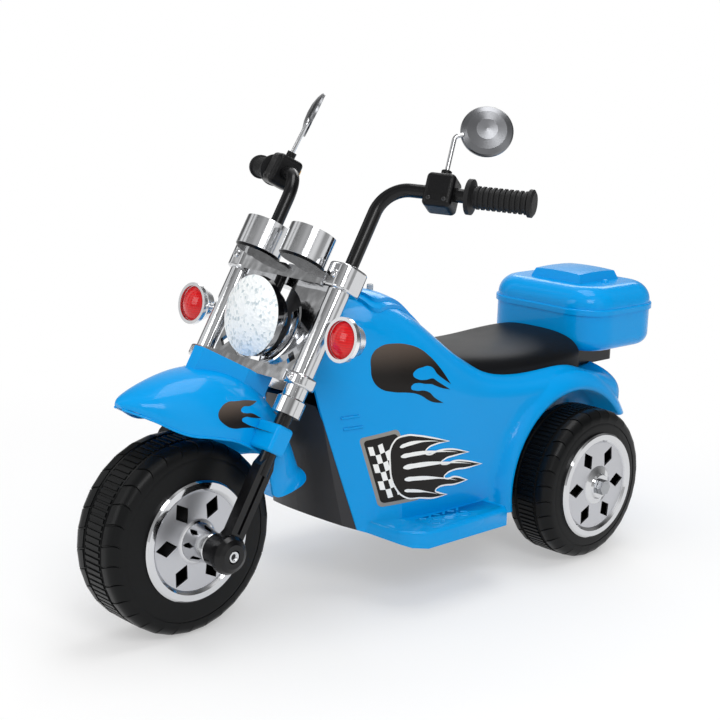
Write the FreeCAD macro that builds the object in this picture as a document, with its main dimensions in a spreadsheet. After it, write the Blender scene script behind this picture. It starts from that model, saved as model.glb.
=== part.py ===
"""Kids electric chopper trike: +X forward, +Y to the rider's left, +Z up, origin on the floor."""
import FreeCAD, Part
import Sketcher
import math
import os
import re

V = FreeCAD.Vector
Turn = FreeCAD.Rotation
Place = FreeCAD.Placement

doc = FreeCAD.newDocument("chopper_trike")
sheet = doc.addObject("Spreadsheet::Sheet", "Sizes")

# Driving dimensions in millimetres and degrees.
SIZES = (
    ("wheelbase", 555, "front axle to rear axle"),
    ("rear_overhang", 220, "rear axle to the back of the lid hinge"),
    ("running_gap", 0.06, "radial clearance of shafts that turn"),
    ("seat_gap", 0.15, "clearance of pieces that are plugged together"),
    ("joint_gap", 0.4, "clearance between pieces that move past each other"),
    ("front_tyre_radius", 110, "front wheel over the tread"),
    ("front_tyre_width", 76, "front wheel across the sidewalls"),
    ("rear_tyre_radius", 98, "rear wheel over the tread"),
    ("rear_tyre_width", 70, "rear wheel across the sidewalls"),
    ("rear_tyre_inner", 87, "centre plane to the inner sidewall of a rear wheel"),
    ("tyre_wall", 8, "thickness of tread and sidewalls"),
    ("shoulder_radius", 14, "rounding between tread and sidewall"),
    ("groove_place", 15, "tread groove from the middle of the wheel"),
    ("groove_width", 4, "tread groove across"),
    ("groove_depth", 3, "tread groove deep"),
    ("wheel_web", 6, "disc between the hub and the tread"),
    ("hub_radius", 15, "wheel hub outside"),
    ("hub_inset", 3, "hub end inside the sidewall plane"),
    ("rim_bead", 61, "inner edge of the sidewall"),
    ("rim_radius", 69, "chrome rim outside"),
    ("rim_lip", 5, "chrome lip proud of the sidewall"),
    ("rim_skin", 2.5, "thickness of the chrome rim"),
    ("rim_boss_radius", 17, "raised centre of the rim"),
    ("front_boss_reach", 34, "front rim centre proud of the sidewall"),
    ("rear_boss_reach", 9, "rear rim centre proud of the sidewall"),
    ("window_place", 41, "diamond window from the wheel centre"),
    ("window_long", 14, "diamond window half length along the radius"),
    ("window_wide", 9.5, "diamond window half width"),
    ("front_axle_radius", 5, "front axle"),
    ("rear_axle_radius", 6, "rear axle"),
    ("axle_cap_radius", 21.5, "cap on the end of the front axle"),
    ("axle_cap_height", 13, "cap on the end of the front axle"),
    ("nut_radius", 10, "rear axle nut over its corners"),
    ("nut_height", 7, "rear axle nut"),
    ("rake", 30, "lean of the fork from the vertical"),
    ("fork_half_track", 85, "centre plane to a fork leg"),
    ("fork_offset", -4, "fork legs ahead of the front axle"),
    ("stem_offset", -35, "steering axis ahead of the front axle"),
    ("stem_radius", 8, "steering stem"),
    ("bush_radius", 11, "steering bush outside"),
    ("bush_flange", 2.5, "steering bush flange thickness"),
    ("bush_flange_radius", 15, "steering bush flange outside"),
    ("bush_length", 14, "steering bush inside the head tube"),
    ("head_tube_radius", 17, "head tube outside"),
    ("leg_width", 20, "flattened fork leg, fore and aft"),
    ("leg_depth", 14, "flattened fork leg, across"),
    ("leg_eye_radius", 18, "eye of the leg round the axle"),
    ("leg_flat_top", 112, "flattened part of the leg ends this far above the axle"),
    ("leg_tube_radius", 9, "round part of the leg"),
    ("leg_tube_top", 296, "top of the leg inside its sleeve"),
    ("sleeve_radius", 13, "chrome fork sleeve"),
    ("sleeve_bottom", 163, "lower end of the chrome sleeve"),
    ("sleeve_top", 322, "upper end of the chrome sleeve inside the upper crown"),
    ("collar_height", 20, "thicker lower end of the sleeve"),
    ("collar_step", 3.5, "collar proud of the sleeve"),
    ("lower_crown_place", 196, "underside of the lower crown above the axle"),
    ("lower_crown_height", 14, "lower crown"),
    ("upper_crown_place", 312, "underside of the upper crown above the axle"),
    ("upper_crown_height", 16, "upper crown"),
    ("lamp_stud_reach", 8, "stud that hangs the headlight, ahead of the axle line"),
    ("crown_wall", 4, "clamp wall round a sleeve or bar"),
    ("crown_round", 14, "rounding of a clamp block in plan"),
    ("crown_edge", 3, "rounding of a clamp block's ends"),
    ("crown_block_height", 30, "upper clamp block"),
    ("crown_back", 17, "crown behind the steering axis"),
    ("fascia_thickness", 5, "chrome plate between the sleeves"),
    ("fascia_place", -6, "back of the plate ahead of the axle line"),
    ("fascia_opening", 51, "arched opening round the headlight"),
    ("fascia_diamond", 11, "side of the diamond cut-outs"),
    ("headlight_radius", 46, "headlight over the lens"),
    ("headlight_place", 255, "lens centre up the fork"),
    ("headlight_reach", 27, "lens centre ahead of the axle line"),
    ("headlight_depth", 38, "headlight shell behind the lens"),
    ("headlight_skin", 2.5, "headlight shell wall"),
    ("lens_bulge", 9, "crown of the headlight lens"),
    ("lamp_tilt", 11, "lamps look up by this angle"),
    ("lamp_stud_radius", 6, "stud that hangs the headlight from the crown"),
    ("lamp_stud_length", 24, "stud that hangs the headlight from the crown"),
    ("cup_radius", 27.5, "gauge cup"),
    ("cup_height", 38, "gauge cup"),
    ("cup_wall", 2.2, "gauge cup rim"),
    ("cup_recess", 4, "dial below the rim"),
    ("cup_half_track", 38, "centre plane to a gauge"),
    ("cup_reach", 24, "gauge centre ahead of the axle line"),
    ("dial_thickness", 1.2, "gauge dial"),
    ("signal_radius", 25, "turn signal bezel"),
    ("signal_lens_radius", 21, "turn signal lens"),
    ("signal_lens_bulge", 9, "crown of the turn signal lens"),
    ("signal_place", 258, "turn signal up the fork"),
    ("signal_half_track", 131, "centre plane to a turn signal"),
    ("signal_reach", 4, "turn signal lens ahead of the axle line"),
    ("signal_depth", 27, "bullet behind the turn signal lens"),
    ("stalk_radius", 5, "turn signal stalk"),
    ("bar_radius", 8, "handlebar tube outside"),
    ("bar_wall", 1.5, "handlebar tube wall"),
    ("bar_half_track", 75, "centre plane to a handlebar's upright part"),
    ("bar_offset", -15, "handlebar's upright part ahead of the front axle"),
    ("bar_bend_place", 446, "corner of the handlebar up the fork"),
    ("bar_bend_radius", 38, "bend of the handlebar"),
    ("bar_sweep", 25, "grips sweep back by this angle"),
    ("bar_drop", 2, "grips drop by this angle"),
    ("bar_reach", 170, "corner of the handlebar to its end"),
    ("bar_root", 325, "lower end of the handlebar inside the upper crown"),
    ("box_place", 67, "corner of the handlebar to the switch box"),
    ("box_along", 34, "switch box along the bar"),
    ("box_deep", 34, "switch box fore and aft"),
    ("box_tall", 40, "switch box height"),
    ("box_rounding", 6, "switch box edges"),
    ("button_radius", 6, "switch box button"),
    ("button_rise", 8, "button above the bar"),
    ("button_length", 7, "switch box button"),
    ("button_proud", 3, "button proud of the box"),
    ("button_travel", 2, "press of the switch box button"),
    ("grip_start", 98, "corner of the handlebar to the grip"),
    ("grip_radius", 11.5, "grip between its ribs"),
    ("grip_rib", 1.6, "rib height"),
    ("grip_ribs", 10, "ribs on a grip"),
    ("grip_flange_radius", 20, "inner flange of the grip"),
    ("grip_flange", 5, "inner flange thickness"),
    ("grip_cap", 4, "closed end of the grip"),
    ("grip_cap_radius", 15.5, "end flange of the grip"),
    ("mirror_radius", 30, "mirror head"),
    ("mirror_rim", 4, "straight edge of the mirror head"),
    ("mirror_dome", 7, "crown of the mirror back"),
    ("mirror_toe", 44, "mirrors turn outwards by this angle"),
    ("mirror_lean", 25, "mirrors lean back by this angle"),
    ("stem_wire_radius", 2.6, "mirror stem"),
    ("stem_rise", 70, "straight part of the mirror stem above the bar"),
    ("stem_bend", 7, "bend of the mirror stem"),
    ("mirror_back", 27.6, "mirror centre behind the stem"),
    ("mirror_out", 23, "mirror centre outside the stem"),
    ("mirror_up", 7, "mirror centre above the stem"),
    ("stem_boss_radius", 6, "socket of the mirror stem"),
    ("stem_boss_height", 7, "socket of the mirror stem"),
    ("fender_wall", 3, "front fender"),
    ("fender_power", 2.3, "squareness of the front fender's arch"),
    ("pylon_width", 32, "half width of the raised fender mount"),
    ("pylon_nose", 76, "front of the raised fender mount ahead of the axle line"),
    ("pylon_root", 166, "lower end of the raised fender mount up the fork"),
    ("guard_bottom", 118, "lower end of the fender's box round a leg"),
    ("guard_top", 150, "upper end of the fender's box round a leg"),
    ("guard_size", 24, "fender's box round a leg"),
    ("shell_wall", 3, "body shell"),
    ("shell_bottom", 75, "lower edge of the body above the floor"),
    ("shell_power", 2.3, "squareness of the body's upper half"),
    ("neck_back", 150, "body section behind the front axle"),
    ("neck_half_width", 46, "body section"),
    ("neck_rise", 68, "crown above the side's upper end"),
    ("neck_over", 58, "crown above the deck"),
    ("tank_front_back", 215, "body section behind the front axle"),
    ("tank_front_half_width", 72, "body section"),
    ("tank_front_rise", 99, "crown above the side's upper end"),
    ("tank_front_over", 86, "crown above the deck"),
    ("tank_peak_back", 292, "body section behind the front axle"),
    ("tank_peak_half_width", 96, "body section"),
    ("tank_peak_rise", 109, "crown above the side's upper end"),
    ("tank_peak_over", 93, "crown above the deck"),
    ("tank_rear_back", 354, "body section behind the front axle"),
    ("tank_rear_half_width", 102, "body section"),
    ("tank_rear_rise", 79, "crown above the side's upper end"),
    ("tank_rear_over", 51, "crown above the deck"),
    ("deck_front_ahead", 138, "body section ahead of the rear axle"),
    ("deck_front_half_width", 105, "body section"),
    ("deck_front_rise", 44, "crown above the side's upper end"),
    ("deck_front_over", 9, "crown above the deck"),
    ("deck_ahead", 60, "body section ahead of the rear axle"),
    ("deck_half_width", 110, "body section"),
    ("deck_rise", 38, "crown above the side's upper end"),
    ("deck_crown", 254, "deck under the seat above the floor"),
    ("axle_deck_behind", 25, "body section behind the rear axle"),
    ("axle_deck_half_width", 111, "body section"),
    ("axle_deck_rise", 36, "crown above the side's upper end"),
    ("axle_deck_over", -4, "crown above the deck"),
    ("tail_behind", 110, "body section behind the rear axle"),
    ("tail_half_width", 104, "body section"),
    ("tail_rise", 38, "crown above the side's upper end"),
    ("tail_over", -22, "crown above the deck"),
    ("tail_lower_edge", 168, "side of the tail above the floor"),
    ("front_edge_top", 270, "foremost corner of the body above the floor"),
    ("front_edge_gap", 21, "body behind the steering axis"),
    ("front_edge_lean", 17, "lower front edge of the body from the vertical"),
    ("arch_radius", 117, "wheel arch about the rear axle"),
    ("arch_inner", 82, "inner wall of the wheel arch"),
    ("arch_band", 23, "flare round the wheel arch"),
    ("arch_proud", 8, "flare of the wheel arch proud of the body"),
    ("board_front", 222, "footboard behind the front axle"),
    ("board_rear_ahead", 150, "footboard end ahead of the rear axle"),
    ("board_half_width", 148, "footboard outer edge"),
    ("board_height", 20, "footboard"),
    ("board_taper", 24, "footboard's cut corners"),
    ("board_wall", 3.5, "footboard skin"),
    ("tread_pad_height", 2, "raised tread pads on the footboards"),
    ("cover_step", 4, "each step of the tank cover"),
    ("cover_half_width", 52, "front of the tank cover"),
    ("cover_tail_half_width", 28, "back of the tank cover"),
    ("cover_front", 250, "tank cover behind the front axle"),
    ("cover_length", 112, "tank cover"),
    ("cover_inset", 9, "upper step inside the lower one"),
    ("start_radius", 4, "start button on the tank"),
    ("start_back", 290, "start button behind the front axle"),
    ("start_height", 30, "start button"),
    ("start_proud", 8, "start button above the cover"),
    ("seat_front_ahead", 193, "seat nose ahead of the rear axle"),
    ("seat_length", 243, "seat"),
    ("seat_half_width", 86, "seat"),
    ("seat_top", 23, "seat above the deck"),
    ("seat_dip", 14, "middle of the seat above the deck"),
    ("seat_edge", -8, "where the seat's sides start to round, above the deck"),
    ("seat_power", 2.7, "squareness of the seat"),
    ("box_front_behind", 52, "storage box behind the rear axle"),
    ("box_half_width", 95, "storage box"),
    ("box_bottom", 250, "storage box above the floor"),
    ("box_seam", 300, "joint between storage box and lid"),
    ("lid_height", 36, "lid over the joint"),
    ("box_corner", 48, "corners of the storage box"),
    ("box_lower_round", 16, "lower edges of the storage box"),
    ("box_upper_round", 26, "upper edges of the lid"),
    ("box_wall", 3, "storage box and lid"),
    ("bead_height", 8, "bead round the lid"),
    ("bead_proud", 2, "bead proud of the lid"),
    ("crest_size", 74, "raised plate on the lid"),
    ("crest_height", 14, "raised plate on the lid"),
    ("crest_dome", 520, "radius of the raised plate's crown"),
    ("crest_flare", 6, "raised plate widens at its foot"),
    ("hinge_radius", 5, "lid hinge knuckle"),
    ("hinge_pin_radius", 1.8, "lid hinge pin"),
    ("hinge_inner", 12, "half width of the lid's knuckle"),
    ("hinge_outer", 28, "outer end of the box's knuckles"),
    ("bracket_half_width", 52, "tail bracket"),
    ("bracket_front_behind", 70, "tail bracket behind the rear axle"),
    ("bracket_length", 92, "tail bracket"),
    ("bracket_drop", 24, "tail bracket"),
    ("floor_thickness", 4, "chassis floor"),
    ("nose_lean", 9, "front of the chassis nose from the vertical"),
    ("nose_bow", 150, "radius of the chassis nose in plan"),
    ("nose_block", 30, "half width of the block that ties the nose to the floor"),
    ("chin_back", 242, "underside starts to rise, behind the front axle"),
    ("chin_rise", 21, "slope of the underside ahead of that"),
    ("neck_rib", 32, "rib from the head tube to the floor"),
    ("carrier_thickness", 8, "plate that carries the rear axle"),
    ("carrier_left", 66, "left carrier from the centre plane"),
    ("carrier_right", 22, "right carrier from the centre plane"),
    ("carrier_half_length", 24, "plate that carries the rear axle"),
    ("gearbox_width", 40, "gearbox"),
    ("gearbox_radius", 33, "gearbox round the axle"),
    ("gearbox_gap", 3, "gearbox to the arch wall"),
    ("motor_radius", 18, "drive motor"),
    ("motor_length", 58, "drive motor"),
    ("motor_ahead", 58, "drive motor ahead of the rear axle"),
    ("battery_length", 100, "battery"),
    ("battery_width", 70, "battery"),
    ("battery_height", 47, "battery"),
    ("battery_back", 285, "battery behind the front axle"),
    ("speaker_radius", 28, "speaker"),
    ("speaker_height", 18, "speaker"),
    ("speaker_ahead", 110, "speaker ahead of the rear axle"),
    ("socket_radius", 8, "charge socket flange"),
    ("socket_body_radius", 5.5, "charge socket body"),
    ("socket_bore", 2.8, "charge socket bore"),
    ("socket_length", 14, "charge socket"),
    ("socket_back", 330, "charge socket behind the front axle"),
    ("socket_height", 180, "charge socket above the floor"),
    ("pedal_length", 66, "accelerator pedal"),
    ("pedal_width", 34, "accelerator pedal"),
    ("pedal_thickness", 5, "accelerator pedal"),
    ("pedal_rest", 7, "pedal slope at rest"),
    ("pedal_pivot_ahead", 190, "pedal pivot ahead of the rear axle"),
    ("pedal_pivot_height", 8, "pedal pivot above the footboard"),
    ("pedal_middle", 128, "pedal from the centre plane"),
    ("pedal_knuckle", 4.5, "pedal knuckle"),
    ("pedal_pin_radius", 2, "pedal pin"),
    ("lug_thickness", 5, "lugs of the pedal pin"),
    ("loom_radius", 2.5, "wiring harness"),
    ("screw_head_radius", 4, "body screw head"),
    ("screw_radius", 2, "body screw"),
    ("screw_length", 14, "body screw"),
    ("screw_head", 2.5, "body screw head"),
)
for row, (alias, value, note) in enumerate(SIZES, start=1):
    sheet.set("A%d" % row, note)
    sheet.set("B%d" % row, str(value))
    sheet.setAlias("B%d" % row, alias)
doc.recompute()


class Values:
    """Reads a size from the sheet by its name."""

    def __getattr__(self, alias):
        return float(sheet.get(alias))


size = Values()
SIZE_NAMES = {alias for alias, value, note in SIZES}
WORD = re.compile(r"[a-z][a-z_]*")

# Reference points and directions worked out from the driving dimensions.
front_x = (size.wheelbase + size.rear_overhang - size.front_tyre_radius) / 2
rear_x = front_x - size.wheelbase
tail_x = rear_x - size.rear_overhang
front_hub = V(front_x, 0, size.front_tyre_radius)
rear_hub = V(rear_x, 0, size.rear_tyre_radius)
LEAN = Turn(V(0, 1, 0), -size.rake)
TO_LEFT = Turn(V(1, 0, 0), -90)
TO_RIGHT = Turn(V(1, 0, 0), 90)
FACE_FORWARD = Turn(V(1, 1, 1), 120)
lamp_angle = math.radians(size.lamp_tilt)
LAMP = Turn(V(0, 0, 1), V(math.cos(lamp_angle), 0, math.sin(lamp_angle)))
WIDE = 400
TALL = 700


def fork(ahead, left, up, turn=Turn()):
    """A place in the fork's leaning frame, measured from the front axle."""
    return Place(front_hub, LEAN).multiply(Place(V(ahead, left, up), turn))


def fork_point(ahead, left, up):
    return fork(ahead, left, up).Base


def at(x, y, z, turn=Turn()):
    return Place(V(x, y, z), turn)


def bind(thing, place, formula):
    """Ties one property to a formula of the sheet's names."""
    named = WORD.sub(lambda m: "Sizes." + m.group() if m.group() in SIZE_NAMES else m.group(), formula)
    thing.setExpression(place, named)


def solid(kind, label, placement, **formulas):
    """A Part primitive whose sizes follow the sheet."""
    thing = doc.addObject("Part::" + kind, label)
    for place, formula in formulas.items():
        bind(thing, place, formula)
    thing.Placement = placement
    return thing


def feature(label, shape):
    thing = doc.addObject("Part::Feature", label)
    thing.Shape = shape
    return thing


def fused(label, *things):
    thing = doc.addObject("Part::MultiFuse", label)
    thing.Shapes = list(things)
    thing.Refine = True
    return thing


def cut(label, base, *tools):
    thing = doc.addObject("Part::Cut", label)
    thing.Base = base
    thing.Tool = tools[0] if len(tools) == 1 else fused(label + "_tools", *tools)
    return thing


def grouped(label, *things):
    thing = doc.addObject("Part::Compound", label)
    thing.Links = list(things)
    return thing


def mirrored(label, source):
    thing = doc.addObject("Part::Mirroring", label)
    thing.Source = source
    thing.Normal = V(0, 1, 0)
    return thing


def rounded(label, base, radius, wanted=lambda edge: True):
    """Rounds the wanted edges of a solid."""
    doc.recompute()
    thing = doc.addObject("Part::Fillet", label)
    thing.Base = base
    thing.Edges = [(i, radius, radius) for i, edge in enumerate(base.Shape.Edges, start=1) if wanted(edge)]
    return thing


def upright(edge):
    start, end = edge.Vertexes[0].Point, edge.Vertexes[-1].Point
    return abs(end.z - start.z) > 1 and math.hypot(end.x - start.x, end.y - start.y) < 0.01


def level_at(height):
    """Picks the edges that lie in the horizontal plane at a height."""
    return lambda edge: abs(edge.BoundBox.ZMin - height) < 0.01 and abs(edge.BoundBox.ZMax - height) < 0.01


def across_fork(edge):
    """Picks the edges that lie in a plane square to the fork."""
    ends = [vertex.Point.dot(LEAN.multVec(V(0, 0, 1))) for vertex in edge.Vertexes]
    return max(ends) - min(ends) < 0.01


def along_fork(edge):
    return not across_fork(edge)


def outline(body, plane, corners, name):
    """A closed sketch of straight lines whose corners are formulas of the sheet."""
    sketch = body.newObject("Sketcher::SketchObject", name)
    sketch.AttachmentSupport = [(next(f for f in body.Origin.OriginFeatures if f.Role == plane), "")]
    sketch.MapMode = "FlatFace"
    count = len(corners)
    angles = [2 * math.pi * i / count for i in range(count)]
    ring = [V(200 + 50 * math.cos(angle), 200 + 50 * math.sin(angle), 0) for angle in angles]
    for i in range(count):
        sketch.addGeometry(Part.LineSegment(ring[i], ring[(i + 1) % count]))
    ties = [Sketcher.Constraint("Coincident", i, 2, (i + 1) % count, 1) for i in range(count)]
    for i, point in enumerate(ring):
        ties.append(Sketcher.Constraint("DistanceX", -1, 1, i, 1, point.x))
        ties.append(Sketcher.Constraint("DistanceY", -1, 1, i, 1, point.y))
    sketch.addConstraint(ties)
    for i, (across, along) in enumerate(corners):
        bind(sketch, "Constraints[%d]" % (count + 2 * i), across)
        bind(sketch, "Constraints[%d]" % (count + 2 * i + 1), along)
    return sketch


def turned(label, corners, placement):
    """A body turned about its own Z axis from corners of radius and height."""
    body = doc.addObject("PartDesign::Body", label)
    spin = body.newObject("PartDesign::Revolution", label + "_turn")
    spin.Profile = outline(body, "XZ_Plane", corners, label + "_profile")
    spin.ReferenceAxis = (spin.Profile[0], ["V_Axis"])
    spin.Angle = 360
    body.Placement = placement
    return body


def padded(label, corners, length, placement):
    """A body padded along its own Z axis."""
    body = doc.addObject("PartDesign::Body", label)
    pad = body.newObject("PartDesign::Pad", label + "_pad")
    pad.Profile = outline(body, "XY_Plane", corners, label + "_profile")
    bind(pad, "Length", length)
    body.Placement = placement
    return body


def tube_path(points, radius):
    """Straight runs joined by tangent arcs."""
    edges = []
    start = points[0]
    for before, corner, after in zip(points, points[1:], points[2:]):
        inward = (before - corner).normalize()
        outward = (after - corner).normalize()
        half = inward.getAngle(outward) / 2
        reach = radius / math.tan(half)
        middle = (inward + outward).normalize()
        first = corner + inward * reach
        last = corner + outward * reach
        crest = corner + middle * (radius / math.sin(half) - radius)
        edges.append(Part.LineSegment(start, first).toShape())
        edges.append(Part.Arc(first, crest, last).toShape())
        start = last
    edges.append(Part.LineSegment(start, points[-1]).toShape())
    return Part.Wire(edges)


def swept(path, radius):
    """A round rod along a path."""
    start = path.Edges[0]
    circle = Part.Circle(start.valueAt(start.FirstParameter), start.tangentAt(start.FirstParameter), radius)
    return path.makePipeShell([Part.Wire([circle.toShape()])], True, True)


def crown_points(half_width, base, crown, power, count=10):
    """A superellipse arch from the left foot over the crown to the right, as pairs of width and height."""
    pairs = []
    for i in range(count + 1):
        angle = math.pi * i / count
        across = math.copysign(abs(math.cos(angle)) ** (2 / power), math.cos(angle))
        rise = abs(math.sin(angle)) ** (2 / power)
        pairs.append((half_width * across, base + (crown - base) * rise))
    return pairs


def spline(points):
    curve = Part.BSplineCurve()
    curve.interpolate(Points=points)
    return curve.toShape()


def arch_section(x, half_width, shoulder, crown, bottom, power):
    """One closed body section: flat bottom, straight sides and an arched top."""
    points = [V(x, y, z) for y, z in crown_points(half_width, shoulder, crown, power)]
    foot_left = V(x, half_width, bottom)
    foot_right = V(x, -half_width, bottom)
    return Part.Wire([
        Part.LineSegment(foot_right, foot_left).toShape(),
        Part.LineSegment(foot_left, points[0]).toShape(),
        spline(points),
        Part.LineSegment(points[-1], foot_right).toShape(),
    ])


def prism(corners, z_low, z_high):
    """An upright prism from plan corners."""
    points = [V(x, y, z_low) for x, y in corners]
    return Part.Face(Part.makePolygon(points + points[:1])).extrude(V(0, 0, z_high - z_low))


def side_prism(corners, half_width):
    """A prism across the trike from side-view corners."""
    points = [V(x, -half_width, z) for x, z in corners]
    return Part.Face(Part.makePolygon(points + points[:1])).extrude(V(0, 2 * half_width, 0))


def shape_cylinder(radius, length, base, axis):
    return Part.makeCylinder(radius, length, base, axis)


# Wheels

def tyre(label, radius, width, bore, outer_hub, inner_hub, placement):
    """A moulded tyre with a web and a hub, open at both sides for the rims."""
    half = "(%s / 2)" % width
    corners = [
        (bore, outer_hub),
        ("hub_radius", outer_hub),
        ("hub_radius", "wheel_web / 2"),
        (radius + " - tyre_wall", "wheel_web / 2"),
        (radius + " - tyre_wall", half + " - tyre_wall"),
        ("rim_bead", half + " - tyre_wall"),
        ("rim_bead", half),
        (radius, half),
    ]
    for side in ("", "-1 * "):
        middle = side + "groove_place"
        corners += [
            (radius, middle + " + groove_width / 2"),
            (radius + " - groove_depth", middle + " + groove_width / 3"),
            (radius + " - groove_depth", middle + " - groove_width / 3"),
            (radius, middle + " - groove_width / 2"),
        ]
    corners += [
        (radius, "-1 * " + half),
        ("rim_bead", "-1 * " + half),
        ("rim_bead", "tyre_wall - " + half),
        (radius + " - tyre_wall", "tyre_wall - " + half),
        (radius + " - tyre_wall", "-1 * wheel_web / 2"),
        ("hub_radius", "-1 * wheel_web / 2"),
        ("hub_radius", inner_hub),
        (bore, inner_hub),
    ]
    body = turned(label, corners, Place())
    doc.recompute()
    base = body.Tip
    tread = float(sheet.get(radius))
    edge_height = float(sheet.get(width)) / 2
    shoulders = []
    for i, edge in enumerate(base.Shape.Edges, start=1):
        if isinstance(edge.Curve, Part.Circle) and abs(edge.Curve.Radius - tread) < 0.01:
            if abs(abs(edge.Curve.Center.z) - edge_height) < 0.01:
                shoulders.append("Edge%d" % i)
    fillet = body.newObject("PartDesign::Fillet", label + "_shoulders")
    fillet.Base = (base, shoulders)
    bind(fillet, "Radius", "shoulder_radius")
    body.Tip = fillet
    body.Placement = placement
    return body


def rim(label, seat, reach, bore, placement):
    """A dished chrome rim with a raised lip, a centre boss and six diamond windows."""
    top = "%s + %s" % (seat, reach)
    corners = [
        (bore, top),
        ("rim_boss_radius - 2", top),
        ("rim_boss_radius", top + " - 3"),
        ("rim_boss_radius + 5", seat + " + rim_skin + 1.5"),
        ("rim_boss_radius + 9", seat + " + rim_skin"),
        ("rim_bead - 5", seat + " + rim_skin - 1"),
        ("rim_bead - 1", seat + " + rim_lip"),
        ("rim_radius - 2", seat + " + rim_lip"),
        ("rim_radius", seat + " + rim_lip - 2"),
        ("rim_radius", seat),
        ("rim_bead", seat),
        ("rim_bead - 4", seat + " - 1"),
        ("rim_boss_radius + 8", seat),
        ("rim_boss_radius + 2.5", seat + " + 1.5"),
        ("rim_boss_radius - rim_skin", top + " - rim_skin - 1"),
        (bore, top + " - rim_skin"),
    ]
    body = turned(label, corners, placement)
    doc.recompute()
    before = body.Shape.Volume
    diamond = [
        ("window_place - window_long", "0"),
        ("window_place", "-1 * window_wide"),
        ("window_place + window_long", "0"),
        ("window_place", "window_wide"),
    ]
    window = body.newObject("PartDesign::Pocket", label + "_window")
    window.Profile = outline(body, "XY_Plane", diamond, label + "_diamond")
    window.Type = "ThroughAll"
    window.Midplane = True
    windows = body.newObject("PartDesign::PolarPattern", label + "_windows")
    windows.Originals = [window]
    windows.Axis = (window.Profile[0], ["N_Axis"])
    windows.Angle = 360
    windows.Occurrences = 6
    body.Tip = windows
    doc.recompute()
    assert body.Shape.Volume < before
    return body


def wheels():
    front_place = Place(front_hub, TO_LEFT)
    front_half = "(front_tyre_width / 2)"
    front_bore = "front_axle_radius + running_gap"
    tyre("front_tyre", "front_tyre_radius", "front_tyre_width", front_bore,
         front_half + " - hub_inset", "hub_inset - " + front_half, front_place)
    rim_bore = "front_axle_radius + joint_gap"
    left = rim("front_rim_near", front_half, "front_boss_reach", rim_bore, front_place)
    grouped("front_rims", left, mirrored("front_rim_far", left))
    middle = size.rear_tyre_inner + size.rear_tyre_width / 2
    rear_half = "(rear_tyre_width / 2)"
    rear_bore = "rear_axle_radius + running_gap"
    inner_end = "arch_inner + joint_gap - rear_tyre_inner - " + rear_half
    rear_place = Place(rear_hub + V(0, middle, 0), TO_LEFT)
    tyre("rear_tyre_left", "rear_tyre_radius", "rear_tyre_width", rear_bore,
         rear_half + " - hub_inset", inner_end, rear_place)
    right_place = Place(rear_hub - V(0, middle, 0), TO_RIGHT)
    tyre("rear_tyre_right", "rear_tyre_radius", "rear_tyre_width", rear_bore,
         rear_half + " - hub_inset", "hub_inset - " + rear_half, right_place)
    left = rim("rear_rim_left", rear_half, "rear_boss_reach", "rear_axle_radius + joint_gap", rear_place)
    mirrored("rear_rim_right", left)
    hub_end = size.rear_tyre_inner + size.hub_inset
    drive_length = "rear_tyre_inner + hub_inset - arch_inner + shell_wall + gearbox_gap - joint_gap"
    hexagon = solid("Prism", "drive_hub_hexagon", Place(rear_hub - V(0, hub_end, 0), TO_LEFT),
                    Circumradius="hub_radius", Height=drive_length)
    hexagon.Polygon = 6
    bore = solid("Cylinder", "drive_hub_bore", Place(rear_hub - V(0, WIDE / 2, 0), TO_LEFT),
                 Radius="rear_axle_radius + running_gap", Height="2 * arch_inner + 4 * rear_tyre_width")
    cut("drive_hub", hexagon, bore)


def axles():
    half = size.fork_half_track + size.leg_depth / 2
    solid("Cylinder", "front_axle", Place(front_hub - V(0, half, 0), TO_LEFT),
          Radius="front_axle_radius", Height="2 * fork_half_track + leg_depth")
    cap = turned("axle_cap_near", [
        ("0", "0"),
        ("axle_cap_radius", "0"),
        ("axle_cap_radius", "axle_cap_height * 0.45"),
        ("axle_cap_radius * 0.86", "axle_cap_height * 0.8"),
        ("axle_cap_radius * 0.62", "axle_cap_height"),
        ("axle_cap_radius * 0.36", "axle_cap_height"),
        ("axle_cap_radius * 0.32", "axle_cap_height * 0.8"),
        ("0", "axle_cap_height * 0.8"),
    ], Place(front_hub + V(0, half, 0), TO_LEFT))
    grouped("axle_caps", cap, mirrored("axle_cap_far", cap))
    outer = size.rear_tyre_inner + size.rear_tyre_width + size.rear_boss_reach
    axle_end = outer + size.joint_gap + size.nut_height
    solid("Cylinder", "rear_axle", Place(rear_hub - V(0, axle_end, 0), TO_LEFT),
          Radius="rear_axle_radius",
          Height="2 * (rear_tyre_inner + rear_tyre_width + rear_boss_reach + joint_gap + nut_height)")
    blank = solid("Prism", "rear_nut_blank", Place(rear_hub + V(0, outer + size.joint_gap, 0), TO_LEFT),
                  Circumradius="nut_radius", Height="nut_height")
    hole = solid("Cylinder", "rear_nut_hole", Place(rear_hub + V(0, outer, 0), TO_LEFT),
                 Radius="rear_axle_radius + running_gap", Height="nut_height * 3")
    nut = cut("rear_nut_left", blank, hole)
    grouped("rear_axle_nuts", nut, mirrored("rear_nut_right", nut))


# Fork and steering head

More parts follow.
